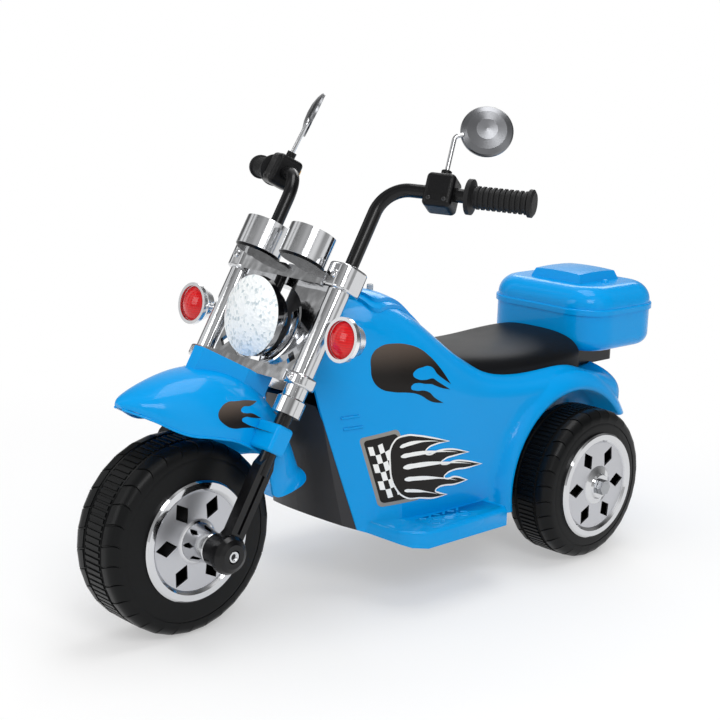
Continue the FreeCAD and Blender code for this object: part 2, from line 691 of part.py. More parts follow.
def fork_legs():
    half = size.fork_half_track + size.leg_depth / 2
    back, front = "(fork_offset - leg_width / 2)", "(fork_offset + leg_width / 2)"
    blade = padded("fork_blade", [
        (back, "0"),
        (front, "0"),
        (front, "leg_flat_top - leg_width / 2"),
        (front + " - leg_width / 5", "leg_flat_top"),
        (back + " + leg_width / 5", "leg_flat_top"),
        (back, "leg_flat_top - leg_width / 2"),
    ], "leg_depth", fork(0, half, 0, TO_RIGHT))
    eye_length = "fork_half_track + leg_depth / 2 - front_tyre_width / 2 - front_boss_reach - joint_gap"
    eye = solid("Cylinder", "fork_eye", fork(0, half, 0, TO_RIGHT),
                Radius="leg_eye_radius", Height=eye_length)
    tube = solid("Cylinder", "fork_tube",
                 fork(size.fork_offset, size.fork_half_track, size.leg_flat_top - 20),
                 Radius="leg_tube_radius", Height="leg_tube_top - leg_flat_top + 20")
    bore = solid("Cylinder", "fork_eye_bore", fork(0, half + 1, 0, TO_RIGHT),
                 Radius="front_axle_radius + running_gap", Height="2 * leg_depth")
    groove = solid("Box", "fork_groove", fork(size.fork_offset - 2, half - 2, size.leg_eye_radius + 6),
                   Length="leg_width / 5", Width="leg_depth", Height="leg_flat_top - leg_eye_radius - 26")
    left = cut("fork_leg_left", fused("fork_leg_blank", blade, eye, tube), bore, groove)
    mirrored("fork_leg_right", left)
    bore = "leg_tube_radius + seat_gap"
    left = turned("fork_sleeve_left", [
        (bore, "sleeve_bottom"),
        ("sleeve_radius + collar_step", "sleeve_bottom"),
        ("sleeve_radius + collar_step", "sleeve_bottom + collar_height - 2"),
        ("sleeve_radius", "sleeve_bottom + collar_height"),
        ("sleeve_radius", "sleeve_top - 1.5"),
        ("sleeve_radius - 1.5", "sleeve_top"),
        (bore, "sleeve_top"),
    ], fork(size.fork_offset, size.fork_half_track, 0))
    mirrored("fork_sleeve_right", left)


def crown(label, place, height, block_height, back, inner):
    """A crown plate with a clamp block round each sleeve, its back and inner faces given as formulas."""
    low = getattr(size, place)
    front = "(fork_offset + sleeve_radius + crown_wall)"
    outer = "(fork_half_track + sleeve_radius + crown_wall)"
    plate = padded(label + "_plate", [
        ("stem_offset - crown_back", "-1 * crown_back"),
        (back + " + 2", "-1 * %s - 6" % inner),
        (front + " - 1", "-1 * %s - 6" % inner),
        (front + " - 1", inner + " + 6"),
        (back + " + 2", inner + " + 6"),
        ("stem_offset - crown_back", "crown_back"),
    ], height, fork(0, 0, low))
    block = padded(label + "_block", [
        (back, inner),
        (front, inner),
        (front, outer),
        (back, outer),
    ], block_height, fork(0, 0, low))
    soft = rounded(label + "_block_soft", block, size.crown_round, along_fork)
    left = rounded(label + "_block_left", soft, size.crown_edge, across_fork)
    right = mirrored(label + "_block_right", left)
    stem = solid("Cylinder", label + "_stem_hole", fork(size.stem_offset, 0, low - 1),
                 Radius="stem_radius + running_gap", Height=height + " + 2")
    hole = solid("Cylinder", label + "_sleeve_hole", fork(size.fork_offset, size.fork_half_track, low - 1),
                 Radius="sleeve_radius + seat_gap", Height="lower_crown_height + 2")
    return fused(label + "_blank", plate, left, right), [stem, hole, mirrored(label + "_far_hole", hole)]


def steering_head():
    sleeve_back = "(fork_offset - sleeve_radius - crown_wall)"
    sleeve_inner = "(fork_half_track - sleeve_radius - crown_wall)"
    blank, holes = crown("lower_crown", "lower_crown_place", "lower_crown_height", "lower_crown_height",
                         sleeve_back, sleeve_inner)
    cut("lower_crown", blank, *holes)
    bar_back = "(bar_offset - bar_radius - crown_wall)"
    bar_inner = "(bar_half_track - bar_radius - crown_wall)"
    blank, holes = crown("upper_crown", "upper_crown_place", "upper_crown_height", "crown_block_height",
                         bar_back, bar_inner)
    bind(doc.getObject("upper_crown_sleeve_hole"), "Height", "sleeve_top - upper_crown_place + 1 + seat_gap")
    socket = solid("Cylinder", "bar_socket",
                   fork(size.bar_offset, size.bar_half_track, size.bar_root - size.seat_gap),
                   Radius="bar_radius + seat_gap", Height="crown_block_height")
    cut("upper_crown", blank, socket, mirrored("bar_socket_far", socket), *holes)
    solid("Cylinder", "steering_stem", fork(size.stem_offset, 0, size.lower_crown_place),
          Radius="stem_radius", Height="upper_crown_place + upper_crown_height - lower_crown_place + 3")
    edge = "(fork_half_track - sleeve_radius - seat_gap)"
    low, high = "(lower_crown_place + lower_crown_height)", "upper_crown_place"
    plate = padded("fascia_plate", [
        ("-1 * " + edge, low),
        (edge, low),
        (edge, high),
        ("-1 * " + edge, high),
    ], "fascia_thickness", fork(size.fascia_place, 0, 0, FACE_FORWARD))
    opening = solid("Cylinder", "fascia_round",
                    fork(size.fascia_place - 1, 0, size.headlight_place, FACE_FORWARD),
                    Radius="fascia_opening", Height="fascia_thickness + 2")
    slant = FACE_FORWARD.multiply(Turn(V(0, 0, 1), 45))
    side, low_edge = size.fork_half_track - 27, size.lower_crown_place + size.lower_crown_height + 8
    diamond = solid("Box", "fascia_diamond_left", fork(size.fascia_place - 1, side, low_edge, slant),
                    Length="fascia_diamond", Width="fascia_diamond", Height="fascia_thickness + 2")
    cut("fork_fascia", plate, opening, diamond, mirrored("fascia_diamond_right", diamond))


def lamp_cap(label, placement, radius, bulge):
    """A lens shaped as the cap of a sphere, its flat side on the placement's plane."""
    r, h = radius, bulge
    ball = "(%s * %s + %s * %s) / (2 * %s)" % (r, r, h, h, h)
    wide, tall = getattr(size, radius), getattr(size, bulge)
    ball_radius = (wide ** 2 + tall ** 2) / (2 * tall)
    cap = solid("Sphere", label, placement.multiply(Place(V(0, 0, tall - ball_radius), Turn())), Radius=ball)
    cap.Angle1 = math.degrees(math.asin((ball_radius - tall) / ball_radius))
    return cap


def lamps():
    lamp_place = Place(fork_point(size.headlight_reach, 0, size.headlight_place), LAMP)
    r, d, w = "headlight_radius", "headlight_depth", "headlight_skin"
    bowl = turned("headlight_bowl", [
        ("0", "-1 * " + d),
        (r + " * 0.42", "-1 * " + d),
        (r + " * 0.74", "-1 * %s * 0.66" % d),
        (r + " * 0.94", "-1 * %s * 0.3" % d),
        (r, "-1 * %s * 0.22" % d),
        (r, "0"),
        (r + " - " + w, "0"),
        (r + " - " + w, "-1 * %s * 0.2" % d),
        (r + " * 0.74 - " + w, "-1 * %s * 0.66 + %s * 0.5" % (d, w)),
        (r + " * 0.42 - %s * 0.5" % w, "-1 * %s + %s" % (d, w)),
        ("0", "-1 * %s + %s" % (d, w)),
    ], lamp_place)
    stud_low = size.upper_crown_place - size.lamp_stud_length
    stud = solid("Cylinder", "headlight_stud", fork(size.lamp_stud_reach, 0, stud_low),
                 Radius="lamp_stud_radius", Height="lamp_stud_length")
    cavity = turned("headlight_cavity", [
        ("0", "-1 * %s + %s" % (d, w)),
        (r + " * 0.42 - %s * 0.5" % w, "-1 * %s + %s" % (d, w)),
        (r + " * 0.74 - " + w, "-1 * %s * 0.66 + %s * 0.5" % (d, w)),
        (r + " - " + w, "-1 * %s * 0.2" % d),
        (r + " - " + w, "0"),
        ("0", "0"),
    ], lamp_place)
    cut("headlight_shell", fused("headlight_blank", bowl, stud), cavity)
    turned("headlight_reflector", [
        (r + " - %s - seat_gap" % w, "-0.2"),
        (r + " - %s - seat_gap" % w, "-2.2"),
        (r + " * 0.66 - " + w, "-1 * %s * 0.58" % d),
        ("0", "-1 * %s * 0.66" % d),
        ("0", "-1 * %s * 0.61" % d),
        (r + " * 0.63 - " + w, "-1 * %s * 0.53" % d),
    ], lamp_place)
    lamp_cap("headlight_lens", lamp_place, "headlight_radius", "lens_bulge")
    r, d = "signal_radius", "signal_depth"
    for side, sign in (("left", 1), ("right", -1)):
        place = Place(fork_point(size.signal_reach, sign * size.signal_half_track, size.signal_place), LAMP)
        bullet = turned("signal_bullet_" + side, [
            ("0", "-1 * " + d),
            (r + " * 0.36", "-0.92 * " + d),
            (r + " * 0.68", "-0.62 * " + d),
            (r + " * 0.88", "-0.15 * " + d),
            (r, "0"),
            (r, "5"),
            ("signal_lens_radius + seat_gap", "5"),
            ("signal_lens_radius + seat_gap", "1"),
            ("0", "1"),
        ], place)
        inner = size.fork_half_track + size.sleeve_radius + size.seat_gap
        root = fork(size.fork_offset, sign * inner, size.signal_place + 3, TO_LEFT if sign > 0 else TO_RIGHT)
        stalk = solid("Cylinder", "signal_stalk_" + side, root, Radius="stalk_radius",
                      Height="signal_half_track - fork_half_track - sleeve_radius - signal_radius * 0.5")
        fused("signal_housing_" + side, bullet, stalk)
        lens_place = place.multiply(Place(V(0, 0, 1), Turn()))
        lamp_cap("signal_lens_" + side, lens_place, "signal_lens_radius", "signal_lens_bulge")
    grouped("signal_lenses", doc.getObject("signal_lens_left"), doc.getObject("signal_lens_right"))


def gauges():
    top = size.upper_crown_place + size.upper_crown_height
    floor = "cup_height - cup_recess"
    cup = turned("gauge_cup_left", [
        ("0", "0"),
        ("cup_radius - 3", "0"),
        ("cup_radius", "3"),
        ("cup_radius", "cup_height"),
        ("cup_radius - cup_wall", "cup_height"),
        ("cup_radius - cup_wall", floor),
        ("0", floor),
    ], fork(size.cup_reach, size.cup_half_track, top))
    grouped("gauge_cups", cup, mirrored("gauge_cup_right", cup))
    place = fork(size.cup_reach, size.cup_half_track, top + size.cup_height - size.cup_recess)
    dial = solid("Cylinder", "gauge_dial_left", place,
                 Radius="cup_radius - cup_wall - seat_gap", Height="dial_thickness")
    grouped("gauge_dials", dial, mirrored("gauge_dial_right", dial))


# Handlebars, grips, switch boxes and mirrors

def handlebars():
    corner = fork_point(size.bar_offset, size.bar_half_track, size.bar_bend_place)
    sweep, drop = math.radians(size.bar_sweep), math.radians(size.bar_drop)
    along = V(-math.sin(sweep) * math.cos(drop), math.cos(sweep) * math.cos(drop), -math.sin(drop))
    root = fork_point(size.bar_offset, size.bar_half_track, size.bar_root)
    path = tube_path([root, corner, corner + along * size.bar_reach], size.bar_bend_radius)
    tube = swept(path, size.bar_radius).cut(swept(path, size.bar_radius - size.bar_wall))
    mirrored("handlebar_right", feature("handlebar_left", tube))

    lean = LEAN.multVec(V(0, 0, 1))
    up = (lean - along * lean.dot(along)).normalize()
    turn = Turn(up.cross(along), up, along, "ZYX")
    start, end = size.grip_start, size.bar_reach
    bore = "bar_radius + seat_gap"
    corners = [
        (bore, "0"),
        ("grip_flange_radius", "0"),
        ("grip_flange_radius", "grip_flange"),
        ("grip_radius + grip_rib", "grip_flange + 2"),
    ]
    ribs = int(size.grip_ribs)
    pitch = "((bar_reach - grip_start - grip_flange - 6) / grip_ribs)"
    for i in range(ribs):
        foot = "grip_flange + 3 + %s * %d" % (pitch, i)
        corners += [
            ("grip_radius", foot),
            ("grip_radius", foot + " + %s * 0.4" % pitch),
            ("grip_radius + grip_rib", foot + " + %s * 0.5" % pitch),
            ("grip_radius + grip_rib", foot + " + %s * 0.9" % pitch),
        ]
    reach = "(bar_reach - grip_start)"
    corners += [
        ("grip_radius", reach + " - 2.5"),
        ("grip_cap_radius", reach + " - 2"),
        ("grip_cap_radius", reach + " + grip_cap - 2"),
        ("grip_cap_radius - 3", reach + " + grip_cap"),
        ("0", reach + " + grip_cap"),
        ("0", reach + " + seat_gap"),
        (bore, reach + " + seat_gap"),
    ]
    mirrored("grip_right", turned("grip_left", corners, Place(corner + along * start, turn)))

    middle = Place(corner + along * size.box_place, turn)
    half = V(size.box_deep / 2, size.box_tall / 2, size.box_along / 2)
    block = solid("Box", "switch_block", middle.multiply(Place(half * -1, Turn())),
                  Length="box_deep", Width="box_tall", Height="box_along")
    block = rounded("switch_block_round", block, size.box_rounding)
    boss_place = middle.multiply(Place(V(0, size.box_tall / 2 - 1, 0), TO_LEFT))
    boss = solid("Cylinder", "mirror_boss", boss_place,
                 Radius="stem_boss_radius", Height="stem_boss_height + 1")
    bar_hole = solid("Cylinder", "switch_bar_hole", middle.multiply(Place(V(0, 0, -WIDE / 8), Turn())),
                     Radius="bar_radius + seat_gap", Height="box_along * 3")
    stem_low = size.bar_radius + 5
    stem_hole = solid("Cylinder", "switch_stem_hole", middle.multiply(Place(V(0, stem_low, 0), TO_LEFT)),
                      Radius="stem_wire_radius + running_gap", Height="box_tall")
    toward_rider = Turn(V(0, 1, 0), 90)
    face = size.box_deep / 2
    hole_depth = size.button_length - size.button_proud + size.button_travel + 1
    button_hole = solid("Cylinder", "switch_button_hole",
                        middle.multiply(Place(V(face - hole_depth, size.button_rise, 0), toward_rider)),
                        Radius="button_radius + joint_gap", Height="button_length * 2")
    left = cut("switch_box_left", fused("switch_blank", block, boss), bar_hole, stem_hole, button_hole)
    mirrored("switch_box_right", left)
    button_place = Place(V(face + size.button_proud - size.button_length, size.button_rise, 0), toward_rider)
    button = solid("Cylinder", "horn_button_blank", middle.multiply(button_place),
                   Radius="button_radius", Height="button_length")
    horn = rounded("horn_button", button, 1.2, lambda edge: isinstance(edge.Curve, Part.Circle))
    mirrored("music_button", horn)

    toe, lean_back = math.radians(size.mirror_toe), math.radians(size.mirror_lean)
    facing = V(math.cos(lean_back) * math.cos(toe), math.cos(lean_back) * math.sin(toe), math.sin(lean_back))
    knee = middle.multVec(V(0, size.stem_rise, 0))
    centre = knee + V(-size.mirror_back, size.mirror_out, size.mirror_up)
    seat = middle.multVec(V(0, stem_low + 2, 0))
    reach = (centre - knee).normalize()
    path = tube_path([seat, knee, centre - reach * (size.mirror_radius - 3)], size.stem_bend)
    stem = feature("mirror_stem_left", swept(path, size.stem_wire_radius))
    mirrored("mirror_stem_right", stem)
    head = turned("mirror_disc", [
        ("0", "mirror_dome"),
        ("mirror_radius * 0.4", "mirror_dome * 0.88"),
        ("mirror_radius * 0.75", "mirror_dome * 0.5"),
        ("mirror_radius * 0.95", "mirror_dome * 0.1"),
        ("mirror_radius", "-1 * mirror_rim * 0.3"),
        ("mirror_radius", "-1 * mirror_rim"),
        ("mirror_radius - 2.5", "-1 * mirror_rim"),
        ("mirror_radius - 2.5", "1 - mirror_rim"),
        ("0", "1 - mirror_rim"),
    ], Place(centre, Turn(V(0, 0, 1), facing)))
    mirrored("mirror_head_right", cut("mirror_head_left", head, stem))


# Front fender

FENDER = (
    # angle from straight ahead, crown radius, half width, lower edge radius
    (64, 177, 6, 171),
    (70, 178, 28, 152),
    (82, 180, 47, 126),
    (96, 186, 56, 119),
    (112, 188, 62, 117),
    (130, 177, 70, 112),
    (145, 168, 73, 96),
    (158, 161, 74, 128),
)


def fender_section(angle, crown_radius, half_width, edge):
    a = math.radians(angle)
    out = V(math.cos(a), 0, math.sin(a))
    arch = crown_points(half_width, edge, crown_radius, size.fender_power)
    points = [front_hub + out * radius + V(0, across, 0) for across, radius in arch]
    return Part.Wire([
        spline(points),
        Part.LineSegment(points[-1], points[0]).toShape(),
    ])


def fender():
    wall = size.fender_wall
    outer = Part.makeLoft([fender_section(*row) for row in FENDER], True, False)
    hollow_rows = []
    for i, (angle, crown_radius, half_width, edge) in enumerate(FENDER):
        shift = 2 if i == 0 else (1 if i == len(FENDER) - 1 else 0)
        hollow_rows.append((angle + shift, crown_radius - wall, half_width - wall, edge - 4))
    inner = Part.makeLoft([fender_section(*row) for row in hollow_rows], True, False)
    plan = [
        (size.pylon_nose, 8),
        (24, size.pylon_width),
        (-12, size.pylon_width),
        (-12, -size.pylon_width),
        (24, -size.pylon_width),
        (size.pylon_nose, -8),
    ]
    pylon = prism(plan, size.pylon_root, size.lower_crown_place)
    pylon.Placement = fork(0, 0, 0)
    half = size.guard_size / 2
    solids = outer.fuse(pylon)
    holes = inner
    for side in (1, -1):
        guard = Part.makeBox(size.guard_size, size.guard_size + 12, size.guard_top - size.guard_bottom)
        guard = guard.makeFillet(4, [e for e in guard.Edges])
        low_y = size.fork_half_track - half - 12 if side > 0 else -size.fork_half_track - half
        guard.Placement = fork(size.fork_offset - half, low_y, size.guard_bottom)
        solids = solids.fuse(guard)
        foot = fork_point(size.fork_offset, side * size.fork_half_track, size.guard_bottom - 5)
        tube_hole = shape_cylinder(size.leg_tube_radius + size.seat_gap, size.guard_size * 2, foot,
                                   LEAN.multVec(V(0, 0, 1)))
        solids = solids.cut(tube_hole)
    feature("front_fender", solids.cut(holes))


# Body

def stations():
    """Place, half width, upper end of the side and crown of each body section, from front to back."""
    deck = size.deck_crown
    rows = (
        (front_x - size.neck_back, size.neck_half_width, size.neck_rise, size.neck_over),
        (front_x - size.tank_front_back, size.tank_front_half_width, size.tank_front_rise,
         size.tank_front_over),
        (front_x - size.tank_peak_back, size.tank_peak_half_width, size.tank_peak_rise, size.tank_peak_over),
        (front_x - size.tank_rear_back, size.tank_rear_half_width, size.tank_rear_rise, size.tank_rear_over),
        (rear_x + size.deck_front_ahead, size.deck_front_half_width, size.deck_front_rise,
         size.deck_front_over),
        (rear_x + size.deck_ahead, size.deck_half_width, size.deck_rise, 0),
        (rear_x - size.axle_deck_behind, size.axle_deck_half_width, size.axle_deck_rise, size.axle_deck_over),
        (rear_x - size.tail_behind, size.tail_half_width, size.tail_rise, size.tail_over),
    )
    return [(x, half_width, deck + over - rise, deck + over) for x, half_width, rise, over in rows]


def hull(grow, bottom, tail=0):
    """The body's outer form, larger by an offset and shorter at the tail."""
    sections = []
    rows = stations()
    for i, (x, half_width, shoulder, top) in enumerate(rows):
        shift = tail if i == len(rows) - 1 else 0
        sections.append(arch_section(x + shift, half_width + grow, shoulder,
                                     top + grow, bottom, size.shell_power))
    return Part.makeLoft(sections, True, False)


def front_line():
    """Upper and lower end of the body's front edge in side view."""
    lean = math.radians(size.rake)
    back = (size.stem_offset - size.front_edge_gap) / math.cos(lean)
    top_x = front_x + back - (size.front_edge_top - size.front_tyre_radius) * math.tan(lean)
    low_x = top_x - (size.front_edge_top - size.shell_bottom) * math.tan(math.radians(size.front_edge_lean))
    return top_x, low_x


def front_cut(forward):
    """Everything ahead of the body's front edge, moved forward by a distance."""
    top_x, low_x = front_line()
    lean = math.tan(math.radians(size.rake))
    head_x = top_x - (TALL - size.front_edge_top) * lean
    below = (size.shell_bottom + 100) * math.tan(math.radians(size.front_edge_lean))
    corners = [
        (head_x + forward, TALL),
        (top_x + forward, size.front_edge_top),
        (low_x - below * 0.57 + forward, size.shell_bottom - 100),
        (front_x + 500, size.shell_bottom - 100),
        (front_x + 500, TALL),
    ]
    return side_prism(corners, WIDE)


def chin():
    """Everything below the underside that rises towards the front."""
    slope = math.tan(math.radians(size.chin_rise))
    behind, ahead = front_x - size.chin_back - 60, front_x
    low = size.shell_bottom - 60
    corners = [
        (behind, low),
        (behind, size.shell_bottom - 60 * slope),
        (ahead, size.shell_bottom + size.chin_back * slope),
        (ahead, low),
    ]
    return side_prism(corners, WIDE)


def both_sides(make):
    """A shape made once for the left and once for the right."""
    return make(1).fuse(make(-1))


def span(x_low, x_high, y_near, y_far, z_low, z_high, side):
    """A box whose y range is mirrored for the right side."""
    y_low = min(side * y_near, side * y_far)
    return Part.makeBox(x_high - x_low, abs(y_far - y_near), z_high - z_low, V(x_low, y_low, z_low))


def wheel_round(radius, y_near, y_far, side):
    """A disc about the rear axle."""
    return shape_cylinder(radius, y_far - y_near, rear_hub + V(0, side * y_near, 0), V(0, side, 0))


def arch_flare(side):
    """A ring about the rear axle that swells out to the lip of the wheel arch."""
    lip = size.deck_half_width + size.arch_proud
    inner, reach = size.arch_radius - 1, size.arch_band
    curve = [(0.0, -1.2), (0.16, 0.0), (0.4, -1.6), (0.7, -6.5), (1.0, -14.0)]
    rim_points = [V(rear_x, side * (lip + fall), size.rear_tyre_radius + size.arch_radius + share * reach)
                  for share, fall in curve]
    swell = Part.BSplineCurve()
    swell.interpolate(rim_points)
    low = V(rear_x, side * size.arch_inner, size.rear_tyre_radius + inner)
    high = V(rear_x, side * size.arch_inner, rim_points[-1].z)
    foot = V(rear_x, rim_points[0].y, low.z)
    edges = [swell.toShape()]
    for first, last in ((rim_points[-1], high), (high, low), (low, foot), (foot, rim_points[0])):
        edges.append(Part.LineSegment(first, last).toShape())
    return Part.Face(Part.Wire(edges)).revolve(rear_hub, V(0, side, 0), 360)


def footboard(inset, low, high, side):
    front = front_x - size.board_front - inset
    rear = rear_x + size.board_rear_ahead + inset
    edge = size.board_half_width - inset
    corners = [
        (front, side * 50),
        (front - size.board_taper * 0.4, side * (edge - size.board_taper)),
        (front - size.board_taper * 1.4, side * edge),
        (rear + size.board_taper * 0.5, side * edge),
        (rear, side * (edge - size.board_taper * 0.5)),
        (rear, side * 50),
    ]
    return prism(corners, low, high)


BOARD_TOP = size.shell_bottom + size.board_height
start_x = front_x - size.start_back
start_top = size.deck_crown + size.tank_peak_over + 2 * size.cover_step + size.start_proud
socket_x = front_x - size.socket_back
pedal_x = rear_x + size.pedal_pivot_ahead
pedal_z = BOARD_TOP + size.pedal_pivot_height
switch_x = pedal_x + 45
boss_rows = (front_x - 303, rear_x + 132)
BOSS_Y = 68


def body_shell():
    wall, floor = size.shell_wall, size.shell_bottom
    side_cut = rear_x - 60

    def tail_block(grow):
        return both_sides(lambda s: span(rear_x - 300, side_cut + grow, size.arch_inner - grow, WIDE,
                                         0, size.tail_lower_edge + grow, s))

    outer = hull(0, floor)
    band = both_sides(arch_flare)
    band = band.cut(Part.makeBox(900, 900, 400, V(-450, -450, floor - 400)))
    boards = both_sides(lambda s: footboard(0, floor, BOARD_TOP, s))
    hollow = hull(-wall, floor - 1, wall + 1)
    hollow = hollow.cut(both_sides(lambda s: wheel_round(size.arch_radius + wall, size.arch_inner - wall,
                                                         WIDE, s)))
    hollow = hollow.cut(tail_block(wall))
    skin = outer.fuse([band, boards])
    board_hollow = both_sides(lambda s: footboard(size.board_wall, floor - 1, BOARD_TOP - size.board_wall, s))
    board_hollow = board_hollow.cut(hull(0, floor - 2))
    skin = skin.cut([hollow, board_hollow])
    skin = skin.cut(both_sides(lambda s: wheel_round(size.arch_radius, size.arch_inner, WIDE, s)))
    skin = skin.cut(tail_block(0))
    skin = skin.cut(front_cut(0)).cut(chin())

    pad_near, pad_far = size.deck_front_half_width + 4, size.board_half_width - 5
    pads = span(rear_x + 160, front_x - 272, pad_near, pad_far,
                BOARD_TOP - 1, BOARD_TOP + size.tread_pad_height, 1)
    rear_pad = span(rear_x + 160, rear_x + 180, pad_near, pad_far,
                    BOARD_TOP - 1, BOARD_TOP + size.tread_pad_height, -1)
    knuckle_half = size.pedal_width / 2 - size.lug_thickness - size.joint_gap
    lugs = []
    for near in (size.pedal_middle - size.pedal_width / 2, size.pedal_middle + knuckle_half + size.joint_gap):
        post = span(pedal_x - size.pedal_knuckle, pedal_x + size.pedal_knuckle, near,
                    near + size.lug_thickness,
                    BOARD_TOP - 1, pedal_z, -1)
        eye = shape_cylinder(size.pedal_knuckle, size.lug_thickness, V(pedal_x, -near, pedal_z), V(0, -1, 0))
        lugs.append(post.fuse(eye))
    bosses = []
    for x, reach in zip(boss_rows, (96, 103)):
        for s in (1, -1):
            low = floor + size.floor_thickness + size.seat_gap
            bosses.append(span(x - 3, x + 3, BOSS_Y, reach, low, low + 30, s))
            bosses.append(shape_cylinder(6, 30, V(x, s * BOSS_Y, low), V(0, 0, 1)))
    skin = skin.fuse([pads, rear_pad] + lugs + bosses)

    pin_near = size.pedal_middle - size.pedal_width
    holes = [
        shape_cylinder(size.pedal_pin_radius + size.running_gap, 2 * size.pedal_width,
                       V(pedal_x, -pin_near, pedal_z), V(0, -1, 0)),
        shape_cylinder(size.rear_axle_radius + 1, 2 * WIDE, rear_hub - V(0, WIDE, 0), V(0, 1, 0)),
        shape_cylinder(size.hub_radius + 2, WIDE, rear_hub - V(0, 60, 0), V(0, -1, 0)),
        shape_cylinder(size.start_radius + size.joint_gap, 100, V(start_x, 0, 300), V(0, 0, 1)),
        shape_cylinder(size.socket_body_radius + size.seat_gap, WIDE,
                       V(socket_x, -60, size.socket_height), V(0, -1, 0)),
        shape_cylinder(3 + size.seat_gap, 20, V(switch_x, -size.pedal_middle, BOARD_TOP - 10), V(0, 0, 1)),
        shape_cylinder(size.loom_radius + 0.5, 45, V(switch_x, -80, floor + 10), V(0, -1, 0)),
    ]
    for x in boss_rows:
        for s in (1, -1):
            holes.append(shape_cylinder(size.screw_radius + size.running_gap, 20,
                                        V(x, s * BOSS_Y, floor), V(0, 0, 1)))
    feature("body_shell", skin.cut(holes))


def tank_cover():
    floor = size.shell_bottom
    near = front_x - size.cover_front
    far = near - size.cover_length
    steps = []
    for tier in (1, 2):
        inset = size.cover_inset * (tier - 1)
        wide = size.cover_half_width - inset
        slim = size.cover_tail_half_width - inset
        plan = [(near - inset, wide), (far + inset, slim), (far + inset, -slim), (near - inset, -wide)]
        trim = prism(plan, floor, TALL)
        trim = trim.makeFillet(14 - 3 * tier, [e for e in trim.Edges if upright(e)])
        steps.append(hull(size.cover_step * tier, floor).common(trim))
    cover = steps[0].fuse(steps[1]).cut(hull(size.seat_gap, floor - 5))
    hole = shape_cylinder(size.start_radius + size.joint_gap, 200, V(start_x, 0, 250), V(0, 0, 1))
    feature("tank_cover", cover.cut(hole))
    shaft = solid("Cylinder", "start_button_shaft", at(start_x, 0, start_top - size.start_height),
                  Radius="start_radius", Height="start_height")
    collar = solid("Cylinder", "start_button_collar", at(start_x, 0, start_top - size.start_height),
                   Radius="start_radius + 3", Height="2.5")
    capped = rounded("start_button_cap", shaft, 1.5, level_at(start_top))
    fused("start_button", capped, collar)


SEAT = (
    # share of the length, half width, height against the seat's top
    (0.0, 0.78, 0.8),
    (0.12, 0.86, 0.7),
    (0.3, 0.94, 0.4),
    (0.6, 1.0, 0.2),
    (0.85, 1.0, 0.65),
    (1.0, 0.92, 0.9),
)


def seat():
    nose = rear_x + size.seat_front_ahead
    sections = []
    for share, width, rise in SEAT:
        top = size.deck_crown + size.seat_dip + (size.seat_top - size.seat_dip) * rise
        edge = size.deck_crown + size.seat_edge
        sections.append(arch_section(nose - share * size.seat_length, size.seat_half_width * width,
                                     edge, top, edge - 60, size.seat_power))
    cushion = Part.makeLoft(sections, True, False)
    feature("seat", cushion.cut(hull(size.seat_gap, size.shell_bottom - 5)))


# Storage box and lid

box_front = rear_x - size.box_front_behind
box_back = tail_x + size.hinge_radius + 4
hinge_x = tail_x + size.hinge_radius
hinge_z = size.box_seam + size.joint_gap / 2
BOX_LENGTH = "(rear_overhang - box_front_behind - hinge_radius - 4)"


def tray(label, inset, low, height, corner, edge, edge_height):
    """A block with rounded corners and one rounded level edge."""
    block = solid("Box", label + "_block", at(box_back + inset, inset - size.box_half_width, low),
                  Length="%s - 2 * %s" % (BOX_LENGTH, inset), Width="2 * (box_half_width - %s)" % inset,
                  Height=height)
    cornered = rounded(label + "_corners", block, corner, upright)
    if edge == 0:
        return cornered
    return rounded(label + "_edges", cornered, edge, level_at(edge_height))


def knuckle(label, y_low, length, web_low):
    barrel = solid("Cylinder", label + "_barrel", at(hinge_x, y_low, hinge_z, TO_LEFT),
                   Radius="hinge_radius", Height=length)
    web = solid("Box", label + "_web", at(hinge_x, y_low, web_low), Length="6", Width=length, Height="4.5")
    return fused(label, barrel, web)


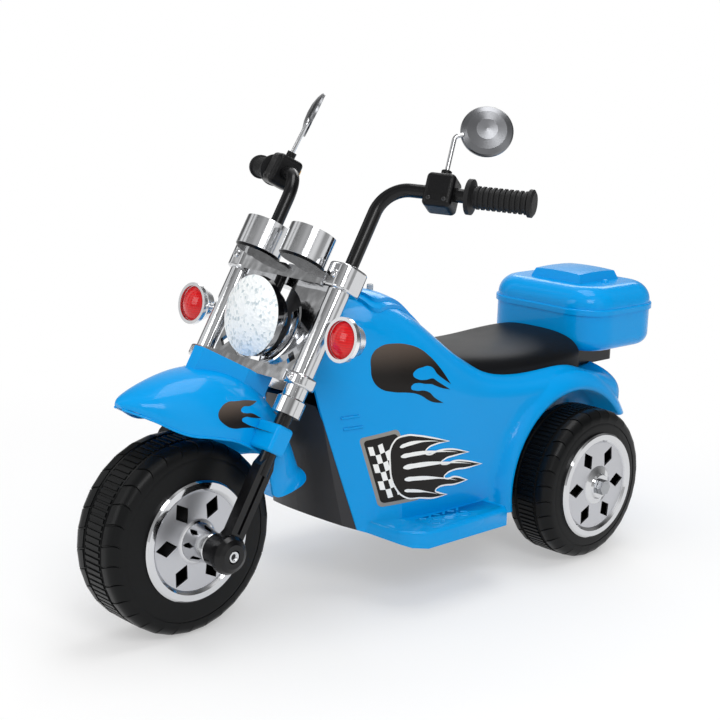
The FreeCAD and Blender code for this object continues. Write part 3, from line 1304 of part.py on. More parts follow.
def storage():
    wall = size.box_wall
    seam = size.box_seam
    top = seam + size.lid_height
    outer = tray("box_outer", 0, size.box_bottom, "box_seam - box_bottom",
                 size.box_corner, size.box_lower_round, size.box_bottom)
    inner = tray("box_inner", wall, size.box_bottom + wall, "box_seam - box_bottom",
                 size.box_corner - wall, size.box_lower_round - wall, size.box_bottom + wall)
    span_text = "hinge_outer - hinge_inner"
    near = knuckle("box_knuckle_left", size.hinge_inner, span_text, hinge_z - 5)
    far = mirrored("box_knuckle_right", near)
    bore = solid("Cylinder", "hinge_bore", at(hinge_x, -size.hinge_outer - 1, hinge_z, TO_LEFT),
                 Radius="hinge_pin_radius + running_gap", Height="2 * hinge_outer + 2")
    relief = solid("Cylinder", "box_relief", at(hinge_x, -size.hinge_inner, hinge_z, TO_LEFT),
                   Radius="hinge_radius + joint_gap", Height="2 * hinge_inner")
    hollow = cut("box_hollow", fused("box_blank", outer, near, far), inner)
    cut("storage_box", hollow, bore, relief)
    solid("Cylinder", "box_hinge_pin", at(hinge_x, -size.hinge_outer, hinge_z, TO_LEFT),
          Radius="hinge_pin_radius", Height="2 * hinge_outer")

    low = seam + size.joint_gap
    outer = tray("lid_outer", 0, low, "lid_height - joint_gap",
                 size.box_corner, size.box_upper_round, top)
    bead = tray("lid_bead", -size.bead_proud, low, "bead_height", size.box_corner, 2, low + size.bead_height)
    inner = tray("lid_inner", wall, low - wall, "lid_height - joint_gap",
                 size.box_corner - wall, size.box_upper_round - wall, top - wall)
    middle = (box_front + box_back) / 2
    plate = solid("Wedge", "lid_crest_plate", at(middle, 0, top - 1, TO_RIGHT),
                  Xmin="-1 * crest_size / 2 - crest_flare", Xmax="crest_size / 2 + crest_flare",
                  Zmin="-1 * crest_size / 2 - crest_flare", Zmax="crest_size / 2 + crest_flare",
                  X2min="-1 * crest_size / 2", X2max="crest_size / 2",
                  Z2min="-1 * crest_size / 2", Z2max="crest_size / 2", Ymin="0", Ymax="crest_height + 1")
    ball = solid("Sphere", "lid_crest_ball", at(middle, 0, top + size.crest_height - size.crest_dome),
                 Radius="crest_dome")
    crest = doc.addObject("Part::Common", "lid_crest")
    crest.Base, crest.Tool = plate, ball
    dome = solid("Sphere", "lid_dome_left", at(middle, size.crest_size / 2 + 16, top - 2), Radius="6")
    lobe = knuckle("lid_knuckle", joint_low(), "2 * (hinge_inner - joint_gap)", hinge_z + 0.5)
    blank = fused("lid_blank", outer, bead, crest, dome, mirrored("lid_dome_right", dome), lobe)
    relief = solid("Cylinder", "lid_relief", at(hinge_x, size.hinge_inner - size.joint_gap, hinge_z, TO_LEFT),
                   Radius="hinge_radius + joint_gap", Height="hinge_outer - hinge_inner + 2 * joint_gap")
    cut("storage_lid", cut("lid_hollow", blank, inner), bore, relief, mirrored("lid_relief_far", relief))

    block = Part.makeBox(size.bracket_length, 2 * size.bracket_half_width, size.bracket_drop,
                         V(rear_x - size.bracket_front_behind - size.bracket_length, -size.bracket_half_width,
                           size.box_bottom - size.bracket_drop))
    block = block.makeFillet(10, [e for e in block.Edges if upright(e)])
    feature("tail_bracket", block.cut(hull(size.seat_gap, size.shell_bottom - 5)))


def joint_low():
    return size.joint_gap - size.hinge_inner


# Chassis and the pieces inside the body

def chassis():
    floor, thick = size.shell_bottom, size.floor_thickness
    top_x, low_x = front_line()
    plan = [
        (low_x - 2, 62),
        (low_x - 50, 75),
        (rear_x - 58, 75),
        (rear_x - 58, -75),
        (low_x - 50, -75),
        (low_x - 2, -62),
    ]
    frame = prism(plan, floor, floor + thick)
    tilt = math.radians(size.nose_lean)
    bow_x = top_x - (size.front_edge_top - floor) * math.tan(tilt) - size.nose_bow
    bow = shape_cylinder(size.nose_bow, TALL, V(bow_x, 0, floor) - V(math.sin(tilt), 0, math.cos(tilt)) * 100,
                         V(math.sin(tilt), 0, math.cos(tilt)))
    nose = hull(-1, floor).common(front_cut(size.seat_gap)).common(bow)
    above = Part.makeBox(WIDE, 2 * WIDE, WIDE)
    above.Placement = fork(-WIDE / 2, -WIDE, size.lower_crown_place - 2)
    nose = nose.cut(above)
    tie = span(low_x - 60, low_x + 12, -size.nose_block, size.nose_block, floor, floor + 34, 1)
    rib_points = [(-35, 222), (-35, 272), (-95, 250), (-240, 120), (-232, 96), (-212, 96), (-80, 208)]
    half = size.neck_rib / 2
    corners = [fork_point(u, -half, t) for u, t in rib_points]
    rib = Part.Face(Part.makePolygon(corners + corners[:1])).extrude(V(0, 2 * half, 0))
    lower_end = size.lower_crown_place + size.lower_crown_height + size.joint_gap + size.bush_flange
    upper_end = size.upper_crown_place - size.joint_gap - size.bush_flange
    lean = LEAN.multVec(V(0, 0, 1))
    tube = shape_cylinder(size.head_tube_radius, upper_end - lower_end,
                          fork_point(size.stem_offset, 0, lower_end), lean)
    parts = [nose, tie, rib, tube]
    for near, far in ((size.carrier_left, size.carrier_left + size.carrier_thickness),
                      (-size.carrier_right - size.carrier_thickness, -size.carrier_right)):
        x = rear_x - size.carrier_half_length
        plate = Part.makeBox(2 * size.carrier_half_length, far - near,
                             size.rear_tyre_radius + 18 - floor, V(x, near, floor))
        parts.append(plate)
    frame = frame.fuse(parts)
    holes = [
        shape_cylinder(size.stem_radius + 1, 200, fork_point(size.stem_offset, 0, lower_end - 50), lean),
        shape_cylinder(size.bush_radius + size.running_gap, size.bush_length,
                       fork_point(size.stem_offset, 0, lower_end), lean),
        shape_cylinder(size.bush_radius + size.running_gap, size.bush_length,
                       fork_point(size.stem_offset, 0, upper_end - size.bush_length), lean),
        shape_cylinder(size.rear_axle_radius + size.running_gap, 2 * WIDE,
                       rear_hub - V(0, WIDE, 0), V(0, 1, 0)),
    ]
    for x in boss_rows:
        for s in (1, -1):
            holes.append(shape_cylinder(size.screw_radius + size.seat_gap, 20,
                                        V(x, s * BOSS_Y, floor - 5), V(0, 0, 1)))
    feature("chassis", frame.cut(holes + [chin()]))

    bore, outer, wide = "stem_radius + running_gap", "bush_radius", "bush_flange_radius"
    low = turned("bush_low", [
        (bore, "-1 * bush_flange"),
        (wide, "-1 * bush_flange"),
        (wide, "0"),
        (outer, "0"),
        (outer, "bush_length - 1"),
        (bore, "bush_length - 1"),
    ], fork(size.stem_offset, 0, lower_end))
    high = turned("bush_high", [
        (bore, "bush_flange"),
        (wide, "bush_flange"),
        (wide, "0"),
        (outer, "0"),
        (outer, "1 - bush_length"),
        (bore, "1 - bush_length"),
    ], fork(size.stem_offset, 0, upper_end))
    grouped("steering_bushes", low, high)


def running_gear():
    floor_top = size.shell_bottom + size.floor_thickness
    outer_face = size.arch_inner - size.shell_wall - size.gearbox_gap
    width = size.gearbox_width
    case = shape_cylinder(size.gearbox_radius, width, rear_hub - V(0, outer_face, 0), V(0, 1, 0))
    motor_x, motor_z = rear_x + size.motor_ahead, size.rear_tyre_radius + 8
    case = case.fuse(shape_cylinder(size.motor_radius + 4, width,
                                    V(motor_x, -outer_face, motor_z), V(0, 1, 0)))
    bridge = Part.makeBox(size.motor_ahead, width, 44, V(rear_x, -outer_face, floor_top + size.seat_gap))
    case = case.fuse(bridge)
    case = case.cut(Part.makeBox(400, 400, 100, V(rear_x - 200, -200, floor_top + size.seat_gap - 100)))
    bore = shape_cylinder(size.rear_axle_radius + size.running_gap, 300, rear_hub - V(0, 150, 0), V(0, 1, 0))
    feature("gearbox", case.cut(bore))
    motor_y = width - outer_face + size.seat_gap
    solid("Cylinder", "drive_motor", at(motor_x, motor_y, motor_z, TO_LEFT),
          Radius="motor_radius", Height="motor_length")
    battery_x = front_x - size.battery_back - size.battery_length
    solid("Box", "battery", at(battery_x, -size.battery_width / 2, floor_top),
          Length="battery_length", Width="battery_width", Height="battery_height")
    turned("speaker", [
        ("0", "0"),
        ("speaker_radius * 0.6", "0"),
        ("speaker_radius * 0.6", "speaker_height * 0.5"),
        ("speaker_radius", "speaker_height * 0.85"),
        ("speaker_radius", "speaker_height"),
        ("0", "speaker_height"),
    ], at(rear_x + size.speaker_ahead, 32, floor_top))

    rear_run = tube_path([V(battery_x - 0.1, -10, 105), V(motor_x + size.motor_radius + 0.5, -10, 105)], 5)
    top_run = tube_path([V(front_x - 340, 0, floor_top + size.battery_height + 0.1), V(front_x - 340, 0, 310),
                         V(start_x, 0, 325)], 15)
    side_y = -size.battery_width / 2 - 0.1
    side_run = tube_path([V(switch_x, side_y, 100), V(switch_x, -60, 100),
                          V(switch_x, -70, size.shell_bottom + 10),
                          V(switch_x, -size.pedal_middle + 3.2, size.shell_bottom + 10)], 8)
    runs = [swept(path, size.loom_radius) for path in (rear_run, top_run, side_run)]
    feature("wiring_harness", Part.makeCompound(runs))

    leg = shape_cylinder(3, 14, V(switch_x, -size.pedal_middle, BOARD_TOP - 13), V(0, 0, 1))
    case = Part.makeBox(16, 12, 5, V(switch_x - 8, -size.pedal_middle - 6, BOARD_TOP))
    feature("pedal_switch", case.fuse(leg))

    skin_y = hull(0, size.shell_bottom).common(
        Part.makeBox(2 * size.socket_radius, 300, 2,
                     V(socket_x - size.socket_radius, -300, size.socket_height))).BoundBox.YMin
    turned("charge_socket", [
        ("socket_bore", "3"),
        ("socket_radius", "3"),
        ("socket_radius", "0"),
        ("socket_body_radius", "0"),
        ("socket_body_radius", "3 - socket_length"),
        ("0", "3 - socket_length"),
        ("0", "5 - socket_length"),
        ("socket_bore", "5 - socket_length"),
    ], at(socket_x, skin_y - 0.1, size.socket_height, TO_RIGHT))

    screws = []
    low = size.shell_bottom
    corners = [(x, s) for x in boss_rows for s in (1, -1)]
    for i, (x, s) in enumerate(corners):
        screws.append(turned("body_screw_%d" % (i + 1), [
            ("0", "screw_length"),
            ("screw_radius", "screw_length"),
            ("screw_radius", "0"),
            ("screw_head_radius", "0"),
            ("screw_head_radius * 0.6", "-1 * screw_head"),
            ("0", "-1 * screw_head"),
        ], at(x, s * BOSS_Y, low)))
    grouped("body_screws", *screws)


def pedal():
    half = size.pedal_width / 2
    knuckle_half = half - size.lug_thickness - size.joint_gap
    lean = Turn(V(0, 1, 0), -size.pedal_rest)
    pivot = Place(V(pedal_x, -size.pedal_middle, pedal_z), lean)
    reach = size.pedal_knuckle + 3
    plate = solid("Box", "pedal_plate",
                  pivot.multiply(Place(V(reach, -half, -size.pedal_thickness / 2), Turn())),
                  Length="pedal_length - pedal_knuckle - 3", Width="pedal_width", Height="pedal_thickness")
    plate = rounded("pedal_plate_round", plate, 2)
    arm = solid("Box", "pedal_arm",
                pivot.multiply(Place(V(0, -knuckle_half, -size.pedal_thickness / 2), Turn())),
                Length="pedal_knuckle + 8", Width="pedal_width - 2 * (lug_thickness + joint_gap)",
                Height="pedal_thickness")
    barrel = solid("Cylinder", "pedal_barrel", pivot.multiply(Place(V(0, -knuckle_half, 0), TO_LEFT)),
                   Radius="pedal_knuckle", Height="pedal_width - 2 * (lug_thickness + joint_gap)")
    bore = solid("Cylinder", "pedal_bore", pivot.multiply(Place(V(0, -half, 0), TO_LEFT)),
                 Radius="pedal_pin_radius + running_gap", Height="pedal_width")
    cut("accelerator_pedal", fused("pedal_blank", plate, arm, barrel), bore)
    solid("Cylinder", "pedal_pin", pivot.multiply(Place(V(0, -half, 0), TO_LEFT)),
          Radius="pedal_pin_radius", Height="pedal_width")


PIECES = (
    "body_shell", "chassis", "tank_cover", "seat", "tail_bracket", "storage_box", "box_hinge_pin",
    "rear_axle", "rear_axle_nuts", "battery", "drive_motor", "gearbox", "speaker", "charge_socket",
    "pedal_switch", "pedal_pin", "wiring_harness", "steering_bushes", "body_screws", "steering_stem",
    "lower_crown", "upper_crown", "fork_leg_left", "fork_leg_right", "fork_sleeve_left",
    "fork_sleeve_right", "fork_fascia", "headlight_shell", "headlight_reflector", "headlight_lens",
    "gauge_cups", "gauge_dials", "signal_housing_left", "signal_housing_right", "signal_lenses",
    "handlebar_left", "handlebar_right", "grip_left", "grip_right", "switch_box_left", "switch_box_right",
    "front_fender", "front_axle", "axle_caps", "front_tyre", "front_rims", "rear_tyre_left",
    "rear_rim_left", "rear_tyre_right", "rear_rim_right", "drive_hub", "storage_lid", "accelerator_pedal",
    "start_button", "horn_button", "music_button", "mirror_stem_left", "mirror_head_left",
    "mirror_stem_right", "mirror_head_right",
)


def write_pieces():
    """Checks every object and writes each piece to its own file."""
    doc.recompute()
    for thing in doc.Objects:
        broken = [word for word in thing.State if word in ("Invalid", "Error")]
        if broken:
            raise RuntimeError("%s: %s" % (thing.Label, broken))
    os.makedirs("parts", exist_ok=True)
    for label in PIECES:
        shape = doc.getObject(label).Shape
        if shape.isNull() or not shape.isValid() or not shape.Solids:
            raise RuntimeError("bad shape: " + label)
        shape.exportStep("parts/%s.step" % label)
        print(label, len(shape.Solids), round(shape.Volume / 1000, 2))


wheels()
axles()
fork_legs()
steering_head()
lamps()
gauges()
handlebars()
fender()
body_shell()
tank_cover()
seat()
storage()
chassis()
running_gear()
pedal()
write_pieces()
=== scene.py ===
"""Kids electric chopper trike: the finishes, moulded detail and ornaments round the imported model."""

import math

import bmesh
import bpy
from bpy.props import FloatProperty, FloatVectorProperty, IntProperty, PointerProperty
from mathutils import Matrix, Vector
from mathutils.bvhtree import BVHTree


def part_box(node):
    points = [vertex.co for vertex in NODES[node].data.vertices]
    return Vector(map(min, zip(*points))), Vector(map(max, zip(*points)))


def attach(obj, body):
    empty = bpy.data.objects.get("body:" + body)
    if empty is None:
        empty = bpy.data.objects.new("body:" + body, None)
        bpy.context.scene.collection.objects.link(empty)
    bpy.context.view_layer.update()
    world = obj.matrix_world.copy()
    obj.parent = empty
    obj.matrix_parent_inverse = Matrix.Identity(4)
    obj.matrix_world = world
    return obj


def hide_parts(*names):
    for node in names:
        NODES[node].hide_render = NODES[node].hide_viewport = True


bl_info = {
    "name": "Chopper Trike",
    "version": (1, 0, 0),
    "blender": (4, 5, 0),
    "location": "View3D > Sidebar > Trike",
    "description": "Finishes, moulded detail and ornaments of a kids electric chopper trike",
    "category": "Object",
}

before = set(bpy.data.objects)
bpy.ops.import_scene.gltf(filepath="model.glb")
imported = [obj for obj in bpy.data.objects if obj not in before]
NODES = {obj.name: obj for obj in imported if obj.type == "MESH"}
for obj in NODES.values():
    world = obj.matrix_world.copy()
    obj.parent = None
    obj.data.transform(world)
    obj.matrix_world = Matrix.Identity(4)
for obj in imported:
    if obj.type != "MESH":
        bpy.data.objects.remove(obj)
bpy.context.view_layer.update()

# Places and sizes below are in millimetres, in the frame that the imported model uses.
MM = 0.001
RAKE = math.radians(30)
FRONT_HUB = Vector((332.5, 0, 110))
REAR_HUB = Vector((-222.5, 0, 98))
REAR_WHEEL_MIDDLE = 122
FORK_AHEAD = Vector((math.cos(RAKE), 0, math.sin(RAKE)))
FORK_UP = Vector((-math.sin(RAKE), 0, math.cos(RAKE)))
LEFT = Vector((0, 1, 0))
UP = Vector((0, 0, 1))
SIDES = ((1, "left"), (-1, "right"))
# The left switch box: its middle and the ways that its top and front face.
SWITCH_BOX = Vector((68.21, 135.69, 486.41))
SWITCH_UP = Vector((-0.4307, -0.1667, 0.8870))
SWITCH_FRONT = Vector((0.7976, 0.3897, 0.4605))
# The longest edge in a printed film.
FACET = 5.5
# The footboards' top and the top of their tread pads.
BOARD_TOP, PAD_TOP = 95, 97
# The tread pads' outer and rear edges, and how far these draw in from the rounded edge.
PAD_FAR, PAD_REAR, PAD_INSET = 143, -62.5, 3.5
# The outer face of the pedal's outer ear, and how far it draws in.
EAR_FAR, EAR_INSET = 145, 1.6
# How near a corner has to be to a place to count as being there.
NEAR = 0.1


def linear(code):
    """An sRGB hex colour as linear red, green and blue."""
    parts = [int(code[i:i + 2], 16) / 255 for i in (0, 2, 4)]
    return tuple(c / 12.92 if c <= 0.04045 else ((c + 0.055) / 1.055) ** 2.4 for c in parts)


def fork_point(ahead, left, up):
    """A place in the fork's leaning frame, measured from the front axle."""
    return FRONT_HUB + FORK_AHEAD * ahead + LEFT * left + FORK_UP * up


def tone(name, description, code):
    """A colour that a user may change."""
    return FloatVectorProperty(name=name, description=description, subtype="COLOR", default=linear(code))


def measure(name, description, size):
    """A length in millimetres that a user may change."""
    return FloatProperty(name=name, description=description, unit="LENGTH", default=size * MM)


class TrikeColours(bpy.types.PropertyGroup):
    """Colours of the mouldings, lenses and films."""

    body: tone("Body", "Gloss mouldings", "009AE4")
    charcoal: tone("Chassis", "Chassis moulding", "2B2B2D")
    seat: tone("Seat", "Seat moulding", "101113")
    black: tone("Black", "Gloss black mouldings", "09090B")
    tyre: tone("Tyres", "Tyre moulding", "090A0B")
    chrome: tone("Chrome", "Plated mouldings", "D2D3D5")
    signal: tone("Signal lens", "Turn signal lenses", "D60B12")
    film_dark: tone("Film", "Dark printed film", "171412")
    film_fade: tone("Film fade", "Upper edge of the dark film", "5C5149")
    film_edge: tone("Film border", "Border of the side plates", "8F8D88")


class TrikeSizes(bpy.types.PropertyGroup):
    """Sizes of the moulded detail."""

    tread_ribs: IntProperty(name="Tread ribs", description="Cross ribs round the middle of a tyre", default=92)
    tread_lugs: IntProperty(name="Tread lugs", description="Shoulder blocks on each side of a tyre", default=30)
    tread_depth: measure("Tread depth", "Height of ribs and blocks", 1.7)
    lug_gap: measure("Lug gap", "Cut between two shoulder blocks", 1.2)
    film: measure("Film", "Thickness of one layer of printed film", 0.22)
    lip: measure("Lip", "Radius of the bead along the fender", 1.5)
    board_round: measure("Board round", "Rounding of the footboards' upper edges", 4)
    stud: measure("Stud", "Height of the studs on the footboards", 0.9)


class TrikeSettings(bpy.types.PropertyGroup):
    """All settings of the trike."""

    colours: PointerProperty(type=TrikeColours, name="Colours", description="Colours")
    sizes: PointerProperty(type=TrikeSizes, name="Sizes", description="Sizes")


def paint(name):
    """A colour as the user has set it."""
    return tuple(getattr(bpy.context.scene.trike.colours, name))


def sizes():
    """The sizes as the user has set them."""
    return bpy.context.scene.trike.sizes


# Building blocks

def node(tree, kind, links=(), to=None, **settings):
    """Adds one node with its settings, its input values or links, and the socket that it feeds."""
    made = tree.nodes.new(kind)
    for key, value in settings.items():
        setattr(made, key, value)
    for name, value in dict(links).items():
        if isinstance(value, bpy.types.Node):
            value = value.outputs[0]
        if isinstance(value, bpy.types.NodeSocket):
            tree.links.new(value, made.inputs[name])
        else:
            made.inputs[name].default_value = value
    if to is not None:
        tree.links.new(made.outputs[2 if kind == "ShaderNodeMix" else 0], to)
    return made


def shader(name, **values):
    """A new material with its tree, its Principled shader's sockets and the place on the piece.

    Plain values sit on the shader's own sockets.
    """
    material = bpy.data.materials.new(name)
    material.use_nodes = True
    tree = material.node_tree
    skin = tree.nodes["Principled BSDF"].inputs
    for key, value in values.items():
        socket = skin[key.replace("_", " ")]
        socket.default_value = (*value, 1.0) if socket.type == "RGBA" else value
    return material, tree, skin, node(tree, "ShaderNodeTexCoord").outputs["Object"]


def dressed(material, *names):
    """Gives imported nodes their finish."""
    for name in names:
        mesh = NODES[name].data
        if not mesh.materials:
            mesh.materials.append(material)
        for place in NODES[name].material_slots:
            place.material = material


def plain_object(name, data):
    """A new object in the scene, at the origin."""
    made = bpy.data.objects.new(name, data)
    bpy.context.scene.collection.objects.link(made)
    return made


def evaluated_mesh(holder):
    """The plain mesh of what an object's curve or modifiers make."""
    graph = bpy.context.evaluated_depsgraph_get()
    return bpy.data.meshes.new_from_object(holder.evaluated_get(graph))


def poured(bm, name):
    """A new mesh from a bmesh, which is freed."""
    mesh = bpy.data.meshes.new(name)
    bm.to_mesh(mesh)
    bm.free()
    return mesh


def mesh_from(bm, name, sharp=35):
    """A mesh with outward faces, smooth but for edges sharper than an angle."""
    bmesh.ops.recalc_face_normals(bm, faces=bm.faces)
    mesh = poured(bm, name)
    mesh.shade_smooth()
    mesh.set_sharp_from_angle(angle=math.radians(sharp))
    return mesh


def settle(piece, body, slot, *nodes):
    """Hands a finished piece to the body that carries it."""
    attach(piece, body)
    if nodes:
        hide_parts(*nodes)
    return piece


def skinned(bm, rows):
    """Faces from each row of corners to the next, where a row is a closed ring."""
    for here, there in zip(rows, rows[1:]):
        for j in range(len(here)):
            k = (j + 1) % len(here)
            bm.faces.new((here[j], here[k], there[k], there[j]))


def capped(bm, rows, name, sharp=35):
    """The mesh of a form skinned over rows of corners and closed at both ends."""
    skinned(bm, rows)
    bm.faces.new(rows[0])
    bm.faces.new(rows[-1])
    return mesh_from(bm, name, sharp)


def turned(profile, segments):
    """A bmesh turned about Y from a closed profile of radius and place across."""
    bm = bmesh.new()
    rings = []
    for i in range(segments):
        angle = 2 * math.pi * i / segments
        rings.append([bm.verts.new((r * math.cos(angle) * MM, y * MM, r * math.sin(angle) * MM))
                      for r, y in profile])
    skinned(bm, rings + rings[:1])
    bmesh.ops.remove_doubles(bm, verts=bm.verts, dist=1e-7)
    return bm


def geometry_tree(name, inputs):
    """An empty Geometry Nodes tree with its named inputs."""
    tree = bpy.data.node_groups.new(name, "GeometryNodeTree")
    for label, kind in inputs:
        tree.interface.new_socket(label, in_out="INPUT", socket_type="NodeSocket" + kind)
    tree.interface.new_socket("Geometry", in_out="OUTPUT", socket_type="NodeSocketGeometry")
    return tree, node(tree, "NodeGroupInput").outputs


def grown(name, tree, values):
    """Evaluates a Geometry Nodes tree and keeps its result as a plain mesh."""
    holder = plain_object(name, bpy.data.meshes.new(name))
    modifier = holder.modifiers.new("Tree", "NODES")
    modifier.node_group = tree
    for item in tree.interface.items_tree:
        if item.in_out == "INPUT":
            modifier[item.identifier] = values[item.name]
    mesh = evaluated_mesh(holder)
    holder.modifiers.remove(modifier)
    holder.data = mesh
    return holder


def spare(*things):
    """Removes the helper objects that a tree copied from."""
    for thing in things:
        bpy.data.objects.remove(thing)


# Finishes

def gloss_blue():
    # Gloss injection-moulded ABS: even deep colour, a faint flow cloud and a soft orange peel.
    blue = paint("body")
    deep = tuple(c * 0.9 for c in blue)
    material, tree, skin, place = shader("gloss_blue_abs", Base_Color=blue, Roughness=0.25, IOR=1.53,
                                         Specular_IOR_Level=0.06, Coat_Weight=0.28, Coat_Roughness=0.08)
    cloud = node(tree, "ShaderNodeTexNoise", {"Vector": place, "Scale": 1 / 0.12, "Detail": 2.0})
    node(tree, "ShaderNodeMix", {0: cloud, 6: (*blue, 1), 7: (*deep, 1)}, skin["Base Color"], data_type="RGBA")
    node(tree, "ShaderNodeMapRange", {"Value": cloud, "To Min": 0.18, "To Max": 0.32}, skin["Roughness"])
    peel = node(tree, "ShaderNodeTexNoise", {"Vector": place, "Scale": 1 / 0.006, "Detail": 1.0})
    node(tree, "ShaderNodeBump", {"Strength": 0.05, "Distance": 0.0006, "Height": peel}, skin["Normal"])
    return material


def grained(name, colour, roughness, grain, depth, patch=0.06, shine=0.3):
    """Satin moulded plastic: spark-eroded grain in the mould breaks up the shine, with slightly uneven gloss."""
    pale = tuple(min(1.0, c * 1.35 + 0.002) for c in colour)
    material, tree, skin, place = shader(name, Base_Color=colour, Roughness=roughness, IOR=1.5,
                                         Specular_IOR_Level=shine)
    cells = node(tree, "ShaderNodeTexVoronoi", {"Vector": place, "Scale": 1 / (grain * MM)})
    cloud = node(tree, "ShaderNodeTexNoise", {"Vector": place, "Scale": 1 / patch, "Detail": 3.0})
    node(tree, "ShaderNodeMapRange", {"Value": cloud, "To Min": roughness - 0.08, "To Max": roughness + 0.08},
         skin["Roughness"])
    node(tree, "ShaderNodeMix", {0: cloud, 6: (*colour, 1), 7: (*pale, 1)}, skin["Base Color"], data_type="RGBA")
    node(tree, "ShaderNodeBump", {"Strength": 0.3, "Distance": depth * MM, "Height": cells.outputs["Distance"]},
         skin["Normal"])
    return material


def gloss_black():
    # Gloss black ABS: dark and clean, with a soft ripple that shows in the reflections.
    material, tree, skin, place = shader("gloss_black_abs", Base_Color=paint("black"), Roughness=0.22, IOR=1.53,
                                         Specular_IOR_Level=0.3)
    ripple = node(tree, "ShaderNodeTexNoise", {"Vector": place, "Scale": 1 / 0.008, "Detail": 2.0})
    node(tree, "ShaderNodeMapRange", {"Value": ripple, "To Min": 0.16, "To Max": 0.3}, skin["Roughness"])
    node(tree, "ShaderNodeBump", {"Strength": 0.08, "Distance": 0.0005, "Height": ripple}, skin["Normal"])
    return material


def switch_black():
    # Two-part black ABS housing: satin, with the parting line as a thin dark groove in its lower third.
    black, groove = paint("black"), (0.001, 0.001, 0.001)
    material, tree, skin, place = shader("satin_black_abs_housing", Base_Color=black, Roughness=0.34, IOR=1.53,
                                         Specular_IOR_Level=0.22)
    parts = node(tree, "ShaderNodeSeparateXYZ", {0: place}).outputs
    side = node(tree, "ShaderNodeMath", {0: parts[1]}, operation="ABSOLUTE")
    folded = node(tree, "ShaderNodeCombineXYZ", {0: parts[0], 1: side, 2: parts[2]})
    offset = node(tree, "ShaderNodeVectorMath", {0: folded, 1: tuple(SWITCH_BOX * MM)}, operation="SUBTRACT")
    height = node(tree, "ShaderNodeVectorMath", {0: offset, 1: tuple(SWITCH_UP)}, operation="DOT_PRODUCT")
    seam = node(tree, "ShaderNodeMath", {0: height.outputs["Value"], 1: -6.5 * MM, 2: 0.5 * MM},
                operation="COMPARE")
    grain = node(tree, "ShaderNodeTexNoise", {"Vector": place, "Scale": 1 / 0.0012, "Detail": 2.0})
    level = node(tree, "ShaderNodeMath", {0: grain, 1: seam}, operation="SUBTRACT")
    node(tree, "ShaderNodeBump", {"Strength": 0.5, "Distance": 0.0006, "Height": level}, skin["Normal"])
    node(tree, "ShaderNodeMix", {0: seam, 6: (*black, 1), 7: (*groove, 1)}, skin["Base Color"], data_type="RGBA")
    return material


def plating(name, roughness=0.07, wave=9.0, depth=0.25, code=None):
    """Vacuum-plated ABS: bright mirror with the slow ripple of the moulding under it and faint haze."""
    silver = linear(code) if code else paint("chrome")
    material, tree, skin, place = shader(name, Base_Color=silver, Metallic=1.0, Roughness=roughness,
                                         Specular_IOR_Level=0.1)
    ripple = node(tree, "ShaderNodeTexNoise", {"Vector": place, "Scale": 1 / (wave * MM), "Detail": 1.0})
    haze = node(tree, "ShaderNodeTexNoise", {"Vector": place, "Scale": 1 / 0.03, "Detail": 3.0})
    node(tree, "ShaderNodeMapRange", {"Value": haze, "To Min": max(0.02, roughness - 0.05),
                                      "To Max": roughness + 0.06}, skin["Roughness"])
    node(tree, "ShaderNodeBump", {"Strength": 0.2, "Distance": depth * MM, "Height": ripple}, skin["Normal"])
    return material, tree, skin, place


def chrome(*finish):
    """Plating of one even brightness."""
    return plating(*finish)[0]


def part_plated(name, way, start, end, roughness, wave, depth):
    """Plated ABS left black where its mask was: plating begins between two places along a direction."""
    material, tree, skin, place = plating(name, roughness, wave, depth)
    along = node(tree, "ShaderNodeVectorMath", {0: place, 1: tuple(way)}, operation="DOT_PRODUCT")
    plated = node(tree, "ShaderNodeMapRange", {"Value": along.outputs["Value"], "From Min": start * MM,
                                               "From Max": end * MM}, skin["Metallic"])
    node(tree, "ShaderNodeMix", {0: plated, 6: (*paint("black"), 1), 7: (*paint("chrome"), 1)},
         skin["Base Color"], data_type="RGBA")
    return material


def rim_chrome(name, hub):
    """Plated rim: satin dished face, bright lip and boss."""
    material, tree, skin, place = plating(name, 0.1)
    from_hub = node(tree, "ShaderNodeMapping", {"Vector": place, "Location": tuple(-hub * MM)})
    flat = node(tree, "ShaderNodeVectorMath", {0: from_hub, 1: (1, 0, 1)}, operation="MULTIPLY")
    radius = node(tree, "ShaderNodeVectorMath", {0: flat}, operation="LENGTH").outputs["Value"]
    outer = node(tree, "ShaderNodeMapRange", {"Value": radius, "From Min": 56.5 * MM, "From Max": 58.5 * MM})
    inner = node(tree, "ShaderNodeMapRange", {"Value": radius, "From Min": 25 * MM, "From Max": 23 * MM})
    bright = node(tree, "ShaderNodeMath", {0: outer, 1: inner}, operation="MAXIMUM")
    node(tree, "ShaderNodeMapRange", {"Value": bright, "To Min": 0.34, "To Max": 0.07}, skin["Roughness"])
    node(tree, "ShaderNodeMix", {0: bright, 6: (*linear("C3C4C8"), 1), 7: (*paint("chrome"), 1)},
         skin["Base Color"], data_type="RGBA")
    return material


def zinc_steel():
    # Zinc-plated steel: dull silver with a fine crystalline mottle.
    material, tree, skin, place = shader("zinc_plated_steel", Base_Color=linear("A9ABAE"), Metallic=1.0,
                                         Roughness=0.35)
    mottle = node(tree, "ShaderNodeTexVoronoi", {"Vector": place, "Scale": 1 / 0.0025})
    node(tree, "ShaderNodeMapRange", {"Value": mottle.outputs["Distance"], "To Min": 0.26, "To Max": 0.46},
         skin["Roughness"])
    return material


